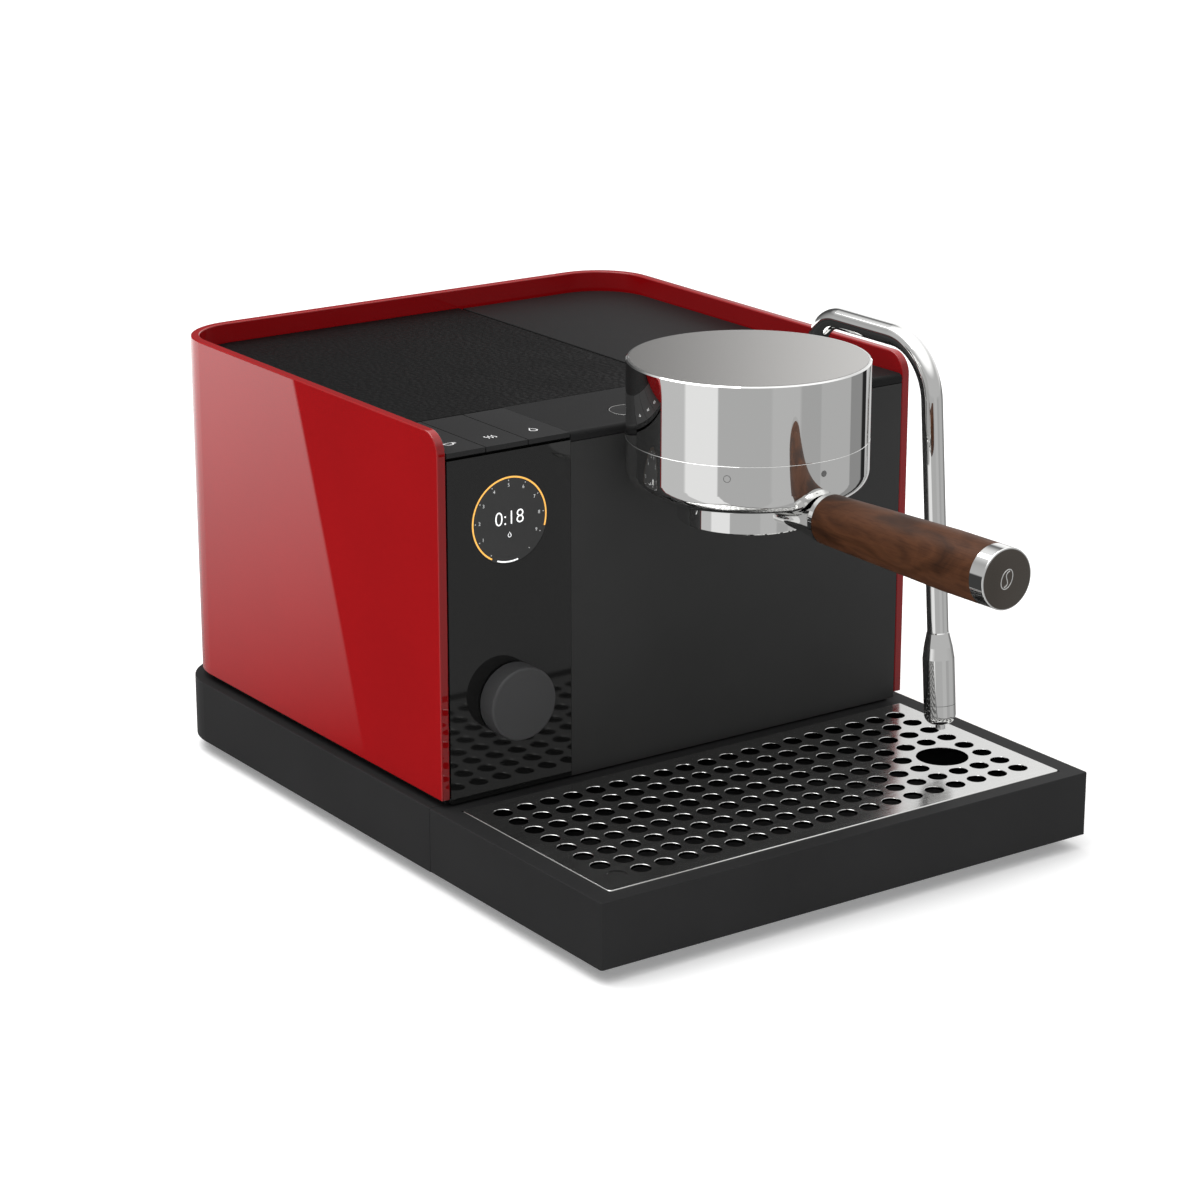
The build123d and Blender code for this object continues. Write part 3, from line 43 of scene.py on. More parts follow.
# ---------------------------------------------------------------- small tools
def mm(*values):
    """A point or a size in metres from millimetres."""
    return Vector([v * MM for v in values])


def use_only(piece):
    """Selects one piece and nothing else."""
    bpy.ops.object.select_all(action="DESELECT")
    piece.select_set(True)
    bpy.context.view_layer.objects.active = piece


def settle(piece):
    """Writes the piece's place into its mesh, so that its object sits at the origin."""
    use_only(piece)
    bpy.ops.object.transform_apply(location=True, rotation=True, scale=True)
    return piece


def dress(piece, material, body):
    """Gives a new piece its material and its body."""
    piece.data.materials.clear()
    piece.data.materials.append(material)
    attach(piece, body)
    return piece


def centre(node):
    """Middle of a CAD node's box."""
    low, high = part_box(node)
    return (low + high) / 2


# ---------------------------------------------------------------- material tools
def new_material(name, color, roughness, metallic=0.0):
    """A material with a Principled shader at plain values."""
    material = bpy.data.materials.new(name)
    material.use_nodes = True
    shader = material.node_tree.nodes["Principled BSDF"]
    shader.inputs["Base Color"].default_value = (*color, 1)
    shader.inputs["Roughness"].default_value = roughness
    shader.inputs["Metallic"].default_value = metallic
    return material


def shader_of(material):
    return material.node_tree.nodes["Principled BSDF"]


def mapped(material, scale=(1, 1, 1), turn=(0, 0, 0)):
    """Object coordinates through a Mapping node."""
    tree = material.node_tree
    where = tree.nodes.new("ShaderNodeTexCoord")
    mapping = tree.nodes.new("ShaderNodeMapping")
    mapping.inputs["Scale"].default_value = scale
    mapping.inputs["Rotation"].default_value = turn
    tree.links.new(where.outputs["Object"], mapping.inputs["Vector"])
    return mapping.outputs["Vector"]


def noise(material, vector, scale, detail=2.0, roughness=0.5, distortion=0.0):
    """A noise texture that follows a vector."""
    tree = material.node_tree
    texture = tree.nodes.new("ShaderNodeTexNoise")
    texture.inputs["Scale"].default_value = scale
    texture.inputs["Detail"].default_value = detail
    texture.inputs["Roughness"].default_value = roughness
    texture.inputs["Distortion"].default_value = distortion
    tree.links.new(vector, texture.inputs["Vector"])
    return texture.outputs["Fac"]


def ramp(material, factor, stops):
    """A colour ramp from (position, colour) stops."""
    tree = material.node_tree
    node = tree.nodes.new("ShaderNodeValToRGB")
    elements = node.color_ramp.elements
    while len(elements) < len(stops):
        elements.new(0.5)
    for element, (position, color) in zip(elements, stops):
        element.position = position
        element.color = (*color, 1)
    tree.links.new(factor, node.inputs["Fac"])
    return node.outputs["Color"]


def spread(material, factor, low, high):
    """Stretches a 0 to 1 value between two others."""
    tree = material.node_tree
    node = tree.nodes.new("ShaderNodeMapRange")
    node.inputs["From Min"].default_value = 0.3
    node.inputs["From Max"].default_value = 0.7
    node.inputs["To Min"].default_value = low
    node.inputs["To Max"].default_value = high
    tree.links.new(factor, node.inputs["Value"])
    return node.outputs["Result"]


def bump(material, height, distance, strength):
    """Bump from a height value, with its depth in metres."""
    tree = material.node_tree
    node = tree.nodes.new("ShaderNodeBump")
    node.inputs["Distance"].default_value = distance
    node.inputs["Strength"].default_value = strength
    tree.links.new(height, node.inputs["Height"])
    tree.links.new(node.outputs["Normal"], shader_of(material).inputs["Normal"])


def drive(material, socket, value):
    material.node_tree.links.new(value, shader_of(material).inputs[socket])


def calculate(tree, operation, first, second):
    """A Math node on a link and a link or a number."""
    node = tree.nodes.new("ShaderNodeMath")
    node.operation = operation
    tree.links.new(first, node.inputs[0])
    if isinstance(second, float):
        node.inputs[1].default_value = second
    else:
        tree.links.new(second, node.inputs[1])
    return node.outputs["Value"]


def rise(material, source, axis, low, high):
    """0 to 1 as one axis of a texture coordinate, such as Object or Normal, goes from low to high."""
    tree = material.node_tree
    where = tree.nodes.new("ShaderNodeTexCoord")
    parts = tree.nodes.new("ShaderNodeSeparateXYZ")
    tree.links.new(where.outputs[source], parts.inputs["Vector"])
    span = tree.nodes.new("ShaderNodeMapRange")
    span.inputs["From Min"].default_value = low
    span.inputs["From Max"].default_value = high
    tree.links.new(parts.outputs[axis], span.inputs["Value"])
    return span.outputs["Result"]


def tone_where(material, factor, color):
    """Replaces the base colour by a plain one where the factor is 0."""
    tree = material.node_tree
    mix = tree.nodes.new("ShaderNodeMix")
    mix.data_type = "RGBA"
    mix.inputs["A"].default_value = (*color, 1)
    tree.links.new(factor, mix.inputs["Factor"])
    tree.links.new(shader_of(material).inputs["Base Color"].links[0].from_socket, mix.inputs["B"])
    drive(material, "Base Color", mix.outputs["Result"])


def shades(color, amount):
    """A darker and a lighter shade of one colour."""
    return [tuple(c * (1 - amount) for c in color), tuple(c * (1 + amount) for c in color)]


# ---------------------------------------------------------------- materials
def moulded_plastic(name, color, roughness, grain=0.02 * MM, coat=0.0, shine=0.35):
    """Spark-eroded plastic: fine grain, slightly uneven gloss."""
    material = new_material(name, color, roughness)
    fine = noise(material, mapped(material), 2600, 2)
    broad = noise(material, mapped(material), 14, 3)
    low, high = shades(color, 0.08)
    drive(material, "Base Color", ramp(material, broad, [(0.3, low), (0.7, high)]))
    drive(material, "Roughness", spread(material, broad, roughness - 0.03, roughness + 0.04))
    bump(material, fine, grain, 0.6)
    shader_of(material).inputs["Coat Weight"].default_value = coat
    shader_of(material).inputs["Specular IOR Level"].default_value = shine
    return material


LACQUER_RED = (0.33, 0.004, 0.006)
FRONT_EDGE_SHADE_RED = (0.20, 0.003, 0.004)
HOLE_WALL_SHADE_GREY = (0.035, 0.035, 0.035)


def red_lacquer():
    """Deep red lacquer over sheet steel, under a clear coat, with painted shade: the sheet's front edges are
    painted a darker red.
    """
    material = new_material("red_lacquer", LACQUER_RED, 0.42)
    shader = shader_of(material)
    shader.inputs["Coat Weight"].default_value = 1.0
    shader.inputs["Coat Roughness"].default_value = 0.003
    shader.inputs["Coat IOR"].default_value = 1.55
    shader.inputs["Specular IOR Level"].default_value = 0.0
    broad = noise(material, mapped(material), 9, 2)
    low, high = shades(LACQUER_RED, 0.05)
    drive(material, "Base Color", ramp(material, broad, [(0.3, low), (0.7, high)]))
    # Painted shade: faces that point forward at the sheet's front get a darker red in place of the lacquer's
    # colour.
    turned_away = rise(material, "Normal", "Y", -0.9, -0.5)
    behind_front = rise(material, "Object", "Y", 0.0, 0.04)
    elsewhere = calculate(material.node_tree, "MAXIMUM", turned_away, behind_front)
    tone_where(material, elsewhere, FRONT_EDGE_SHADE_RED)
    bump(material, noise(material, mapped(material), 260, 1), 0.004 * MM, 0.25)
    return material


def gloss_panel():
    """Deep black gloss plastic."""
    material = new_material("gloss_black_plastic", (0.008, 0.008, 0.0078), 0.05)
    broad = noise(material, mapped(material), 20, 2)
    drive(material, "Roughness", spread(material, broad, 0.035, 0.06))
    return material


def pebbled_silicone():
    """Black silicone with a pebbled face, with painted highlights on the pebble tops and painted shade in
    the hollows between them.
    """
    color = (0.0032, 0.0032, 0.0033)
    material = new_material("pebbled_silicone", color, 0.5)
    tree = material.node_tree
    pebbles = tree.nodes.new("ShaderNodeTexVoronoi")
    pebbles.feature = "SMOOTH_F1"
    pebbles.inputs["Scale"].default_value = 330
    pebbles.inputs["Smoothness"].default_value = 0.6
    pebbles.inputs["Randomness"].default_value = 0.9
    tree.links.new(mapped(material), pebbles.inputs["Vector"])
    flip = tree.nodes.new("ShaderNodeMath")
    flip.operation = "SUBTRACT"
    flip.inputs[0].default_value = 1.0
    tree.links.new(pebbles.outputs["Distance"], flip.inputs[1])
    bump(material, flip.outputs["Value"], 0.35 * MM, 0.8)
    shader_of(material).inputs["Specular IOR Level"].default_value = 0.05
    # Painted highlight and shade: the base colour follows the pebble height, lighter on the tops and darker
    # in the hollows.
    low, high = shades(color, 0.35)
    drive(material, "Base Color", ramp(material, flip.outputs["Value"], [(0.3, low), (0.9, high)]))
    drive(material, "Roughness", spread(material, noise(material, mapped(material), 30, 2), 0.42, 0.56))
    return material


def polished_metal(name, color, roughness):
    """Plated or polished metal with a trace of uneven gloss."""
    material = new_material(name, color, roughness, 1.0)
    uneven = noise(material, mapped(material), 45, 3)
    drive(material, "Roughness", spread(material, uneven, roughness, roughness + 0.01))
    return material


def brushed_metal(name, color, roughness, along="Y"):
    """Metal with fine straight brush lines along one axis."""
    material = new_material(name, color, roughness, 1.0)
    scale = {"X": (30, 1800, 1800), "Y": (1800, 30, 1800), "Z": (1800, 1800, 30)}[along]
    lines = noise(material, mapped(material, scale), 1.0, 3)
    drive(material, "Roughness", spread(material, lines, roughness - 0.04, roughness + 0.06))
    low, high = shades(color, 0.04)
    drive(material, "Base Color", ramp(material, lines, [(0.3, low), (0.7, high)]))
    bump(material, lines, 0.002 * MM, 0.3)
    return material


def punched_steel():
    """Polished sheet whose punched hole walls, and other faces that don't point up, are painted dark grey as
    painted shade.
    """
    material = brushed_metal("polished_grate_steel", (0.66, 0.66, 0.65), 0.19, "X")
    # Painted shade: faces that don't point up get a near-black base colour.
    tone_where(material, rise(material, "Normal", "Z", 0.05, 0.25), HOLE_WALL_SHADE_GREY)
    return material


def bead_blasted(name, color, roughness):
    """Satin metal with a fine even blasted grain."""
    material = new_material(name, color, roughness, 1.0)
    grain = noise(material, mapped(material), 5200, 2)
    drive(material, "Roughness", spread(material, grain, roughness - 0.03, roughness + 0.03))
    low, high = shades(color, 0.03)
    drive(material, "Base Color", ramp(material, grain, [(0.3, low), (0.7, high)]))
    bump(material, grain, 0.004 * MM, 0.3)
    return material


def cast_metal(name, color, roughness):
    """Cast metal with a coarse skin."""
    material = new_material(name, color, roughness, 1.0)
    skin = noise(material, mapped(material), 600, 4)
    low, high = shades(color, 0.1)
    drive(material, "Base Color", ramp(material, skin, [(0.3, low), (0.7, high)]))
    bump(material, skin, 0.08 * MM, 0.5)
    return material


def walnut():
    """Oiled walnut with a broad figure, fine pores and its grain along the handle."""
    material = new_material("oiled_walnut", (0.11, 0.045, 0.025), 0.42)
    tree = material.node_tree
    figure = noise(material, mapped(material, (1.0, 0.42, 1.0), (0.35, 0.0, 0.3)), 52, 4, 0.5, 1.2)
    tone = ramp(material, figure, [(0.30, (0.028, 0.010, 0.004)), (0.45, (0.062, 0.022, 0.008)),
                                   (0.55, (0.086, 0.031, 0.012)), (0.70, (0.046, 0.016, 0.006))])
    pores = noise(material, mapped(material, (1.0, 0.05, 1.0)), 1300, 3, 0.6)
    pore_tone = ramp(material, pores, [(0.38, (0.62, 0.56, 0.50)), (0.50, (1.0, 1.0, 1.0))])
    mix = tree.nodes.new("ShaderNodeMix")
    mix.data_type = "RGBA"
    mix.blend_type = "MULTIPLY"
    mix.inputs["Factor"].default_value = 0.55
    tree.links.new(tone, mix.inputs["A"])
    tree.links.new(pore_tone, mix.inputs["B"])
    drive(material, "Base Color", mix.outputs["Result"])
    drive(material, "Roughness", spread(material, figure, 0.42, 0.52))
    shader_of(material).inputs["Specular IOR Level"].default_value = 0.16
    bump(material, pores, 0.04 * MM, 0.45)
    return material


def rubber(name, color):
    """Plain moulded rubber."""
    material = new_material(name, color, 0.7)
    skin = noise(material, mapped(material), 900, 2)
    low, high = shades(color, 0.12)
    drive(material, "Base Color", ramp(material, skin, [(0.3, low), (0.7, high)]))
    bump(material, skin, 0.03 * MM, 0.5)
    return material


def smoked_tank():
    """Smoked clear plastic of the water tank."""
    material = new_material("smoked_clear_plastic", (0.55, 0.58, 0.60), 0.08)
    shader_of(material).inputs["Transmission Weight"].default_value = 0.85
    broad = noise(material, mapped(material), 25, 2)
    drive(material, "Roughness", spread(material, broad, 0.06, 0.1))
    return material


def circuit_green():
    """Solder mask with faint tracks."""
    material = new_material("circuit_board_mask", (0.02, 0.12, 0.05), 0.4)
    tree = material.node_tree
    bricks = tree.nodes.new("ShaderNodeTexBrick")
    bricks.inputs["Scale"].default_value = 140
    bricks.inputs["Mortar Size"].default_value = 0.012
    bricks.inputs["Color1"].default_value = (0.015, 0.10, 0.04, 1)
    bricks.inputs["Color2"].default_value = (0.02, 0.13, 0.055, 1)
    bricks.inputs["Mortar"].default_value = (0.05, 0.2, 0.09, 1)
    tree.links.new(mapped(material, turn=(math.radians(90), 0, 0)), bricks.inputs["Vector"])
    drive(material, "Base Color", bricks.outputs["Color"])
    return material


def lit_ink(name, color, strength):
    """A lit mark on the display."""
    material = new_material(name, color, 0.4)
    shader_of(material).inputs["Emission Strength"].default_value = strength
    glow = noise(material, mapped(material), 400, 1)
    low, high = shades(color, 0.04)
    tone = ramp(material, glow, [(0.3, low), (0.7, high)])
    drive(material, "Base Color", tone)
    drive(material, "Emission Color", tone)
    return material


def screen_print(name, color):
    """Matte screen-printing ink."""
    material = new_material(name, color, 0.55)
    grain = noise(material, mapped(material), 1800, 1)
    low, high = shades(color, 0.05)
    drive(material, "Base Color", ramp(material, grain, [(0.3, low), (0.7, high)]))
    return material


LACQUER = red_lacquer()
BASE_PLASTIC = moulded_plastic("charcoal_base_plastic", (0.024, 0.024, 0.0244), 0.45, shine=0.05)
PANEL_PLASTIC = moulded_plastic("matte_panel_plastic", (0.030, 0.030, 0.0298), 0.46, shine=0.25)
FINE_GRAIN = 0.012 * MM
KEY_PLASTIC = moulded_plastic("satin_key_plastic", (0.024, 0.024, 0.0243), 0.42, FINE_GRAIN, shine=0.05)
STRIP_PLASTIC = moulded_plastic("satin_strip_plastic", (0.0150, 0.0150, 0.0152), 0.42, FINE_GRAIN,
                                shine=0.05)
LID_PLASTIC = moulded_plastic("satin_lid_plastic", (0.0118, 0.0118, 0.0120), 0.38, FINE_GRAIN, shine=0.06)
KNOB_PLASTIC = moulded_plastic("soft_knob_plastic", (0.046, 0.046, 0.047), 0.5, 0.02 * MM)
GLOSS_BLACK = gloss_panel()
SILICONE = pebbled_silicone()
CHROME = polished_metal("polished_chrome", (0.86, 0.86, 0.85), 0.02)
SATIN = bead_blasted("satin_nickel", (0.62, 0.605, 0.585), 0.24)
DARK_SATIN = bead_blasted("satin_gunmetal", (0.130, 0.116, 0.102), 0.26)
GRATE_STEEL = punched_steel()
BARE_STEEL = brushed_metal("bare_steel", (0.55, 0.55, 0.54), 0.3, "Z")
ZINC = cast_metal("zinc_plate", (0.42, 0.43, 0.44), 0.42)
ALUMINIUM = cast_metal("cast_aluminium", (0.62, 0.62, 0.63), 0.45)
BRASS = brushed_metal("turned_brass", (0.70, 0.48, 0.18), 0.25, "Y")
WALNUT = walnut()
FOOT_RUBBER = rubber("foot_rubber", (0.015, 0.015, 0.015))
SEAL_RUBBER = rubber("seal_rubber", (0.03, 0.028, 0.027))
TUBE_SILICONE = rubber("tube_silicone", (0.62, 0.61, 0.58))
WHITE_PLASTIC = moulded_plastic("white_plastic", (0.62, 0.62, 0.60), 0.45)
TANK_PLASTIC = smoked_tank()
CIRCUIT = circuit_green()
DISPLAY_GLASS = moulded_plastic("display_glass", (0.030, 0.030, 0.030), 0.12, 0.001 * MM, coat=0.4)
AMBER_LIGHT = lit_ink("amber_light", (0.80, 0.40, 0.07), 0.75)
WHITE_LIGHT = lit_ink("white_light", (0.85, 0.86, 0.86), 0.75)
DIM_LIGHT = lit_ink("dim_light", (0.50, 0.51, 0.51), 0.5)
WHITE_INK = screen_print("white_ink", (0.80, 0.80, 0.80))
GREY_INK = screen_print("grey_ink", (0.14, 0.14, 0.14))

NODE_FINISH = {
    LACQUER: ["outer_shell"],
    BASE_PLASTIC: ["base_housing", "tray_tub", "power_inlet", "power_rocker", "display_module"],
    PANEL_PLASTIC: ["front_panel", "top_deck"],
    STRIP_PLASTIC: ["top_strip"],
    KEY_PLASTIC: ["brew_key", "steam_key", "water_key", "power_button"],
    LID_PLASTIC: ["tank_lid"],
    KNOB_PLASTIC: ["knob"],
    GLOSS_BLACK: ["control_panel"],
    DISPLAY_GLASS: ["display_lens"],
    SILICONE: ["cup_mat"],
    CHROME: ["group_drum", "group_ring", "portafilter_body", "handle_ferrule", "handle_cap", "wand_tube",
             "wand_nut", "wand_sleeve", "wand_tip"],
    SATIN: ["group_top_disc"],
    GRATE_STEEL: ["drip_grate"],
    BARE_STEEL: ["base_screws", "encoder_body", "knob_shaft", "bayonet_ring", "shower_screen",
                 "shower_screw", "filter_basket", "basket_spring", "handle_stud", "boiler",
                 "heater_flange", "boiler_bolts", "steam_tube"],
    ZINC: ["base_plate", "bulkhead", "tank_shelf"],
    ALUMINIUM: ["group_casting"],
    BRASS: ["wand_socket", "solenoid_valve"],
    WALNUT: ["handle_grip"],
    FOOT_RUBBER: ["feet"],
    SEAL_RUBBER: ["group_gasket", "pump_mounts"],
    TUBE_SILICONE: ["water_tubes"],
    WHITE_PLASTIC: ["pump", "tank_valve"],
    TANK_PLASTIC: ["water_tank"],
    CIRCUIT: ["key_board", "control_board", "power_supply"],
}

for finish, names in NODE_FINISH.items():
    for node_name in names:
        for material_slot in nodes[node_name].material_slots:
            material_slot.material = finish


# ---------------------------------------------------------------- marks
TO_FRONT = Matrix.Rotation(math.radians(90), 4, "X")  # turns a mark drawn on the floor to face -Y


def stroke(name, outlines, width, thickness=PRINT_T):
    """Flat rounded strokes drawn in X and Y, in millimetres, as one mesh. An outline is (points, closed)."""
    curve = bpy.data.curves.new(name, "CURVE")
    curve.dimensions = "3D"
    curve.bevel_depth = width * MM / 2
    curve.bevel_resolution = 2
    curve.use_fill_caps = True
    for points, closed in outlines:
        line = curve.splines.new("POLY")
        line.points.add(len(points) - 1)
        line.use_cyclic_u = closed
        for point, (x, y) in zip(line.points, points):
            point.co = (x * MM, y * MM, 0, 1)
    piece = bpy.data.objects.new(name, curve)
    bpy.context.scene.collection.objects.link(piece)
    use_only(piece)
    bpy.ops.object.convert(target="MESH")
    piece = bpy.context.view_layer.objects.active
    piece.scale = (1, 1, thickness / (width * MM))
    return settle(piece)


def lettering(name, text, height, heavy=0.0):
    """Text centred on the origin, its capitals that many millimetres high, as a mesh."""
    curve = bpy.data.curves.new(name, "FONT")
    curve.body = text
    curve.align_x = "CENTER"
    curve.align_y = "CENTER"
    curve.size = height * MM / 0.7
    curve.offset = heavy * MM
    curve.extrude = PRINT_T / 2
    piece = bpy.data.objects.new(name, curve)
    bpy.context.scene.collection.objects.link(piece)
    use_only(piece)
    bpy.ops.object.convert(target="MESH")
    return settle(bpy.context.view_layer.objects.active)


def place(piece, matrix):
    """Moves a settled piece by a matrix and settles it again."""
    piece.matrix_world = matrix
    bpy.context.view_layer.update()
    return settle(piece)


def arc(radius, start, end, steps=48):
    """Points of an arc in degrees, anticlockwise from +X."""
    turns = [math.radians(start + (end - start) * i / steps) for i in range(steps + 1)]
    return [(radius * math.cos(a), radius * math.sin(a)) for a in turns]


def merged(name, pieces):
    """Joins pieces into one."""
    bpy.ops.object.select_all(action="DESELECT")
    for piece in pieces:
        piece.select_set(True)
    bpy.context.view_layer.objects.active = pieces[0]
    bpy.ops.object.join()
    whole = bpy.context.view_layer.objects.active
    whole.name = name
    whole.data.name = name
    return whole


def cup_icon():
    """A cup seen from the side, with its handle."""
    bowl = [(-2.9, 1.7), (2.3, 1.7), (2.1, -0.3), (1.1, -1.9), (-1.7, -1.9), (-2.7, -0.3)]
    handle = [(2.3, 1.2), (3.6, 1.2), (3.8, 0.1), (2.2, -0.4)]
    return [(bowl, True), (handle, False)]


def steam_icon():
    """Three wisps of steam."""
    steps = 12
    wisps = []
    for x in (-2.2, 0.0, 2.2):
        wave = [(x + 0.6 * math.sin(2 * math.pi * i / steps), -2.4 + 4.8 * i / steps)
                for i in range(steps + 1)]
        wisps.append((wave, False))
    return wisps


def drop_icon():
    """A drop of water."""
    round_end = [(x, y - 0.9) for x, y in arc(2.0, 150, 390, 20)]
    return [([(0, 3.1)] + round_end, True)]


ICON_LINE = 0.75  # width of an icon's strokes, mm


def key_marks():
    """White icons on the three keys."""
    for node, body, icon in (("brew_key", "left_key", cup_icon()), ("steam_key", "middle_key", steam_icon()),
                             ("water_key", "right_key", drop_icon())):
        low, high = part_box(node)
        spot = Vector(((low.x + high.x) / 2, 0.0, high.z + LIFT))
        mark = stroke(node + "_icon", icon, ICON_LINE)
        place(mark, Matrix.Translation(spot))
        dress(mark, WHITE_INK, body)


# The display's dial, in millimetres and degrees, anticlockwise from its right-hand side.
RING_INSET = 0.9  # from the glass's edge to the lit ring
RING_LINE = 0.9
RING_SPAN = (241, -17)
REFILL_SPAN = (250, 283)
DIAL_START = 237
DIAL_STEP = 29.2
DIAL_STEPS = 11
TICK_REACH = (1.9, 1.3)  # a tick's two ends, in from the ring
NUMBER_IN = 4.1
NUMBER_H = 1.8
TIME_H = 7.4


def display_marks():
    """The shot timer on the display: a lit ring, a dial of numbers, the time and a drop."""
    low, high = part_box("display_lens")
    middle = centre("display_lens")
    face = Matrix.Translation(Vector((middle.x, low.y - LIFT, middle.z))) @ TO_FRONT
    reach = (high.x - low.x) / 2 / MM
    ring_r = reach - RING_INSET
    amber = stroke("timer_ring", [(arc(ring_r, *RING_SPAN, 96), False)], RING_LINE)
    dress(place(amber, face), AMBER_LIGHT, "root")
    amber.visible_glossy = False
    white = stroke("refill_arc", [(arc(ring_r, *REFILL_SPAN, 24), False)], 0.8)
    dress(place(white, face), WHITE_LIGHT, "root")
    numbers = []
    ticks = []
    inner, outer = [ring_r - reach_in for reach_in in TICK_REACH]
    for i in range(DIAL_STEPS):
        angle = math.radians(DIAL_START - DIAL_STEP * i)
        ticks.append(([(inner * math.cos(angle), inner * math.sin(angle)),
                       (outer * math.cos(angle), outer * math.sin(angle))], False))
        if 0 < i < DIAL_STEPS - 1:
            digit = lettering("dial_number", str(i), NUMBER_H)
            at = (ring_r - NUMBER_IN) * MM
            numbers.append(place(digit, Matrix.Translation((at * math.cos(angle), at * math.sin(angle), 0))))
    dial = merged("dial_numbers", numbers + [stroke("dial_ticks", ticks, 0.4)])
    dress(place(dial, face), DIM_LIGHT, "root")
    time = lettering("timer_digits", "0:18", TIME_H, -0.14)
    dress(place(time, face @ Matrix.Translation(mm(0, 0.6, 0))), WHITE_LIGHT, "root")
    drop = [([(0.45 * x, 0.45 * y) for x, y in points], closed) for points, closed in drop_icon()]
    hint = stroke("timer_drop", drop, 0.35)
    dress(place(hint, face @ Matrix.Translation(mm(0, -8.0, 0))), WHITE_LIGHT, "root")


MARK_HEIGHT = 225.2 * MM  # above the worktop
UNLOCKED_TURN = -46.7
LOCKED_TURN = 0.0


def group_marks():
    """Open ring for the unlocked handle and a dot for the locked one, on the group's lower ring."""
    low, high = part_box("group_ring")
    axis = (low + high) / 2
    radius = (high.x - low.x) / 2
    for name, angle, shape, width in (("unlocked_mark", UNLOCKED_TURN, arc(1.75, 0, 345, 24), 0.35),
                                      ("locked_mark", LOCKED_TURN, arc(0.8, 0, 345, 24), 1.7)):
        mark = stroke(name, [(shape, True)], width)
        out = Matrix.Translation(Vector((0, -radius - LIFT, 0))) @ TO_FRONT
        spot = Matrix.Translation(Vector((axis.x, axis.y, MARK_HEIGHT)))
        place(mark, spot @ Matrix.Rotation(math.radians(angle), 4, "Z") @ out)
        dress(mark, GREY_INK, "root")


def button_ring():
    """Thin bright outline of the round button."""
    low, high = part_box("power_button")
    middle = centre("power_button")
    radius = (high.x - low.x) / 2 / MM - 0.35
    ring = stroke("button_outline", [(arc(radius, 0, 354, 60), True)], 0.5, 0.12 * MM)
    place(ring, Matrix.Translation(Vector((middle.x, middle.y, high.z))))
    dress(ring, BARE_STEEL, "round_button")


CAP_RIM = 0.75 * MM  # of bright cap left round the satin face
CAP_FACE_T = 0.6 * MM
BEAN_R = 4.9
BEAN_LINE = 0.6


def cap_face():
    """Satin face of the handle's end cap, with an embossed bean."""
    low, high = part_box("handle_cap")
    middle = centre("handle_cap")
    radius = (high.z - low.z) / 2
    bpy.ops.object.select_all(action="DESELECT")
    bpy.ops.mesh.primitive_cylinder_add(vertices=96, radius=radius - CAP_RIM, depth=CAP_FACE_T)
    disc = bpy.context.object
    disc.name = "cap_face"
    bpy.ops.object.mode_set(mode="EDIT")
    bpy.ops.mesh.select_all(action="SELECT")
    bpy.ops.mesh.bevel(offset=0.12 * MM, segments=2)
    bpy.ops.object.mode_set(mode="OBJECT")
    bpy.ops.object.shade_smooth_by_angle(angle=math.radians(35))
    face = Matrix.Translation(Vector((0, low.y + 0.5 * MM, middle.z))) @ TO_FRONT
    tilt = Matrix.Rotation(math.radians(-1.0), 4, "X")
    place(disc, face @ tilt)
    dress(disc, DARK_SATIN, "portafilter")
    outline = [(0.66 * x, y) for x, y in arc(BEAN_R, 0, 350, 35)]
    crease = [(1.25 * math.sin(2 * math.pi * i / 16), -4.2 + 8.4 * i / 16) for i in range(17)]
    bean = stroke("cap_bean", [(outline, True), (crease, False)], BEAN_LINE, 0.3 * MM)
    place(bean, face @ tilt @ Matrix.Rotation(math.radians(-25), 4, "Z") @ Matrix.Translation(mm(0, 0, 0.3)))
    dress(bean, CHROME, "portafilter")


key_marks()
display_marks()
group_marks()
button_ring()
cap_face()


# ---------------------------------------------------------------- studio
def floor():
    """Plain pale floor."""
    bpy.ops.object.select_all(action="DESELECT")
    bpy.ops.mesh.primitive_grid_add(x_subdivisions=2, y_subdivisions=2, size=40)
    ground = bpy.context.object
    ground.name = "studio_floor"
    material = new_material("pale_floor", (0.95, 0.95, 0.95), 0.9)
    shader_of(material).inputs["Emission Color"].default_value = (1, 1, 1, 1)
    shader_of(material).inputs["Emission Strength"].default_value = 0.18
    shader_of(material).inputs["Specular IOR Level"].default_value = 0.0
    ground.data.materials.append(material)
    ground.visible_glossy = False


def soft_light(name, place_at, aim, size, power):
    """A large soft area light."""
    data = bpy.data.lights.new(name, "AREA")
    data.shape = "RECTANGLE"
    data.size, data.size_y = size
    data.energy = power
    lamp = bpy.data.objects.new(name, data)
    lamp.location = place_at
    lamp.rotation_euler = (Vector(aim) - Vector(place_at)).to_track_quat("-Z", "Y").to_euler()
    bpy.context.scene.collection.objects.link(lamp)
    return lamp


CAMERA_AT = Vector((-1.0137, -1.3900, 0.6703))
CAMERA_DOWN = 17.591
CAMERA_TURN = -34.925
CARD_LEAN = 0.18
CARD_SOFT = math.radians(0.06)
BAND_SOFT = 0.0012  # softness of a band's edge, as a part of a full turn
DOME = (1.25, 1.25, 1.25, 1)
LOW_EDGE = (-0.02, 0.06)  # heights between which the low surroundings give way to the back wall
DOME_EDGE = (0.45, 0.80)  # heights between which the back wall gives way to the dome
CARD_FOOT = (-0.345, -0.225)  # heights between which the left card fades in
LENS = 100.94


def camera():
    data = bpy.data.cameras.new("camera")
    data.sensor_width = 36.0
    data.lens = LENS
    data.clip_end = 100.0
    eye = bpy.data.objects.new("camera", data)
    eye.location = CAMERA_AT
    eye.rotation_euler = (math.radians(90 - CAMERA_DOWN), 0, math.radians(CAMERA_TURN))
    bpy.context.scene.collection.objects.link(eye)
    bpy.context.scene.camera = eye


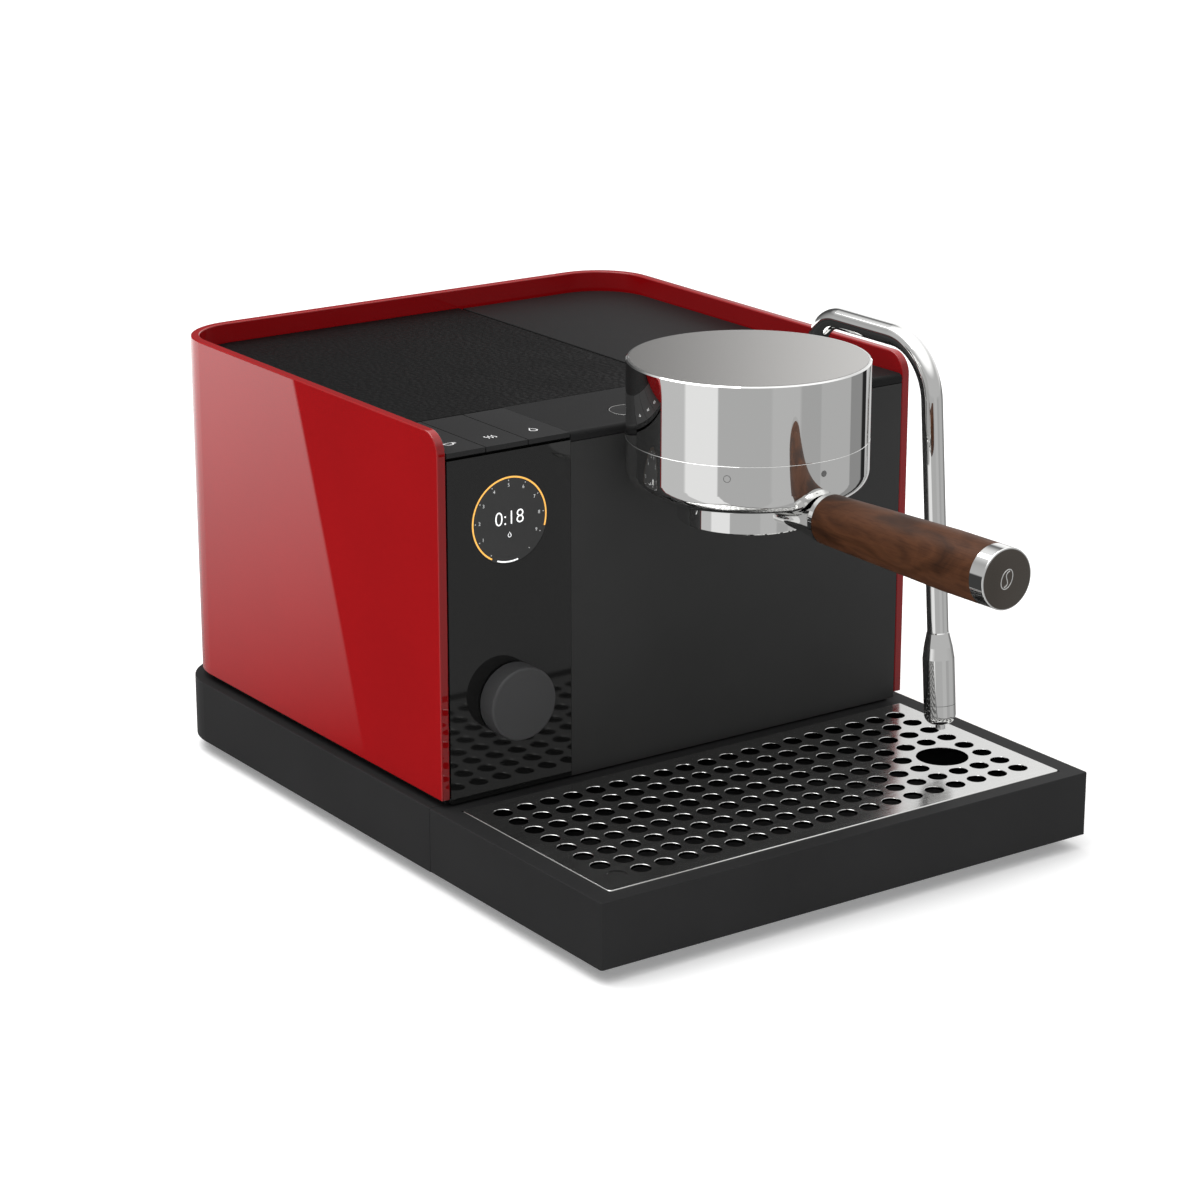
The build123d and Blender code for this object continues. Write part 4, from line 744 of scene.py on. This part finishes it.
# Brightness of the studio round the machine, by angle from the camera's side of it, to the right
# positive: (from this angle, brightness) for what lies low, up to eye level.
STUDIO_BANDS = [(-180, 0.30), (-165, 0.05), (-97, 0.56), (-66, 0.86), (-33, 0.45), (17, 0.50), (45, 0.40),
                (67, 0.46), (106, 0.28), (128, 0.02), (139, 0.60)]
LEFT_CARD = (-165, -118)  # the bright card on the left, between two angles
LEFT_CARD_GLOW = 1.6
# The same for what lies behind the machine, a little above eye level.
BACK_WALL = [(-180, 0.16), (-176, 0.10), (-150, 0.06), (-100, 0.5), (100, 0.5), (150, 1.05), (168, 1.25),
             (175, 0.95), (178, 0.38), (180, 0.12)]


def fill_ramp(node, stops):
    """Grey stops on a colour ramp."""
    elements = node.color_ramp.elements
    while len(elements) < len(stops):
        elements.new(1.0)
    for element, (position, value) in zip(elements, stops):
        element.position = position
        element.color = (value, value, value, 1)


def smooth_step(tree, value, low, high):
    node = tree.nodes.new("ShaderNodeMapRange")
    node.interpolation_type = "SMOOTHSTEP"
    node.inputs["From Min"].default_value = low
    node.inputs["From Max"].default_value = high
    tree.links.new(value, node.inputs["Value"])
    return node.outputs["Result"]


def world_mix(tree, factor, first, second):
    node = tree.nodes.new("ShaderNodeMix")
    node.data_type = "RGBA"
    tree.links.new(factor, node.inputs["Factor"])
    tree.links.new(first, node.inputs["A"])
    if isinstance(second, tuple):
        node.inputs["B"].default_value = second
    else:
        tree.links.new(second, node.inputs["B"])
    return node.outputs["Result"]


def world_mix_add(tree, first, second):
    node = tree.nodes.new("ShaderNodeMix")
    node.data_type = "RGBA"
    node.blend_type = "ADD"
    node.inputs["Factor"].default_value = 1.0
    tree.links.new(first, node.inputs["A"])
    tree.links.new(second, node.inputs["B"])
    return node.outputs["Result"]


def studio_world():
    """Soft studio surroundings: a bright dome over upright light and dark cards."""
    world = bpy.data.worlds.new("studio")
    bpy.context.scene.world = world
    world.use_nodes = True
    tree = world.node_tree
    where = tree.nodes.new("ShaderNodeTexCoord")
    turn = math.radians(CAMERA_TURN)
    front = Vector((math.sin(turn), -math.cos(turn), 0))
    right = Vector((math.cos(turn), math.sin(turn), 0))
    parts = []
    for direction in (right, front, Vector((0, 0, 1))):
        dot = tree.nodes.new("ShaderNodeVectorMath")
        dot.operation = "DOT_PRODUCT"
        dot.inputs[1].default_value = direction
        tree.links.new(where.outputs["Generated"], dot.inputs[0])
        parts.append(dot.outputs["Value"])
    across, ahead, height = parts
    # The cards' upright edges lean a little, so the angle is offset by the height.
    angle = calculate(tree, "ARCTAN2", across, ahead)
    lean = calculate(tree, "MULTIPLY", height, CARD_LEAN)
    leaning = calculate(tree, "ADD", angle, lean)
    turns = []
    for value in (leaning, angle):
        node = tree.nodes.new("ShaderNodeMapRange")
        node.inputs["From Min"].default_value = -math.pi
        node.inputs["From Max"].default_value = math.pi
        tree.links.new(value, node.inputs["Value"])
        turns.append(node.outputs["Result"])
    bands = tree.nodes.new("ShaderNodeValToRGB")
    stops = []
    for i, (start, value) in enumerate(STUDIO_BANDS):
        position = (start + 180) / 360
        if i:
            stops.append((position - BAND_SOFT, STUDIO_BANDS[i - 1][1]))
        stops.append((position + (BAND_SOFT if i else 0), value))
    fill_ramp(bands, stops)
    tree.links.new(turns[0], bands.inputs["Fac"])
    back = tree.nodes.new("ShaderNodeValToRGB")
    fill_ramp(back, [((start + 180) / 360, value) for start, value in BACK_WALL])
    tree.links.new(turns[1], back.inputs["Fac"])
    card_from, card_to = [math.radians(edge) for edge in LEFT_CARD]
    past_card = smooth_step(tree, leaning, card_to + CARD_SOFT, card_to)
    card = calculate(tree, "MULTIPLY", calculate(tree, "GREATER_THAN", leaning, card_from), past_card)
    fade = tree.nodes.new("ShaderNodeMapRange")
    fade.inputs["From Min"].default_value = CARD_FOOT[0]
    fade.inputs["From Max"].default_value = CARD_FOOT[1]
    fade.inputs["To Max"].default_value = LEFT_CARD_GLOW
    tree.links.new(height, fade.inputs["Value"])
    glow = calculate(tree, "MULTIPLY", fade.outputs["Result"], card)
    lit = world_mix_add(tree, bands.outputs["Color"], glow)
    low_to_wall = smooth_step(tree, height, *LOW_EDGE)
    wall_to_dome = smooth_step(tree, height, *DOME_EDGE)
    low = world_mix(tree, low_to_wall, lit, back.outputs["Color"])
    sky = world_mix(tree, wall_to_dome, low, DOME)
    background = tree.nodes["Background"]
    tree.links.new(sky, background.inputs["Color"])


floor()
camera()
studio_world()
soft_light("key_light", (-0.7, 0.7, 2.5), (0, 0, 0.1), (2.6, 2.0), 40)
bpy.context.scene.view_settings.view_transform = "Standard"
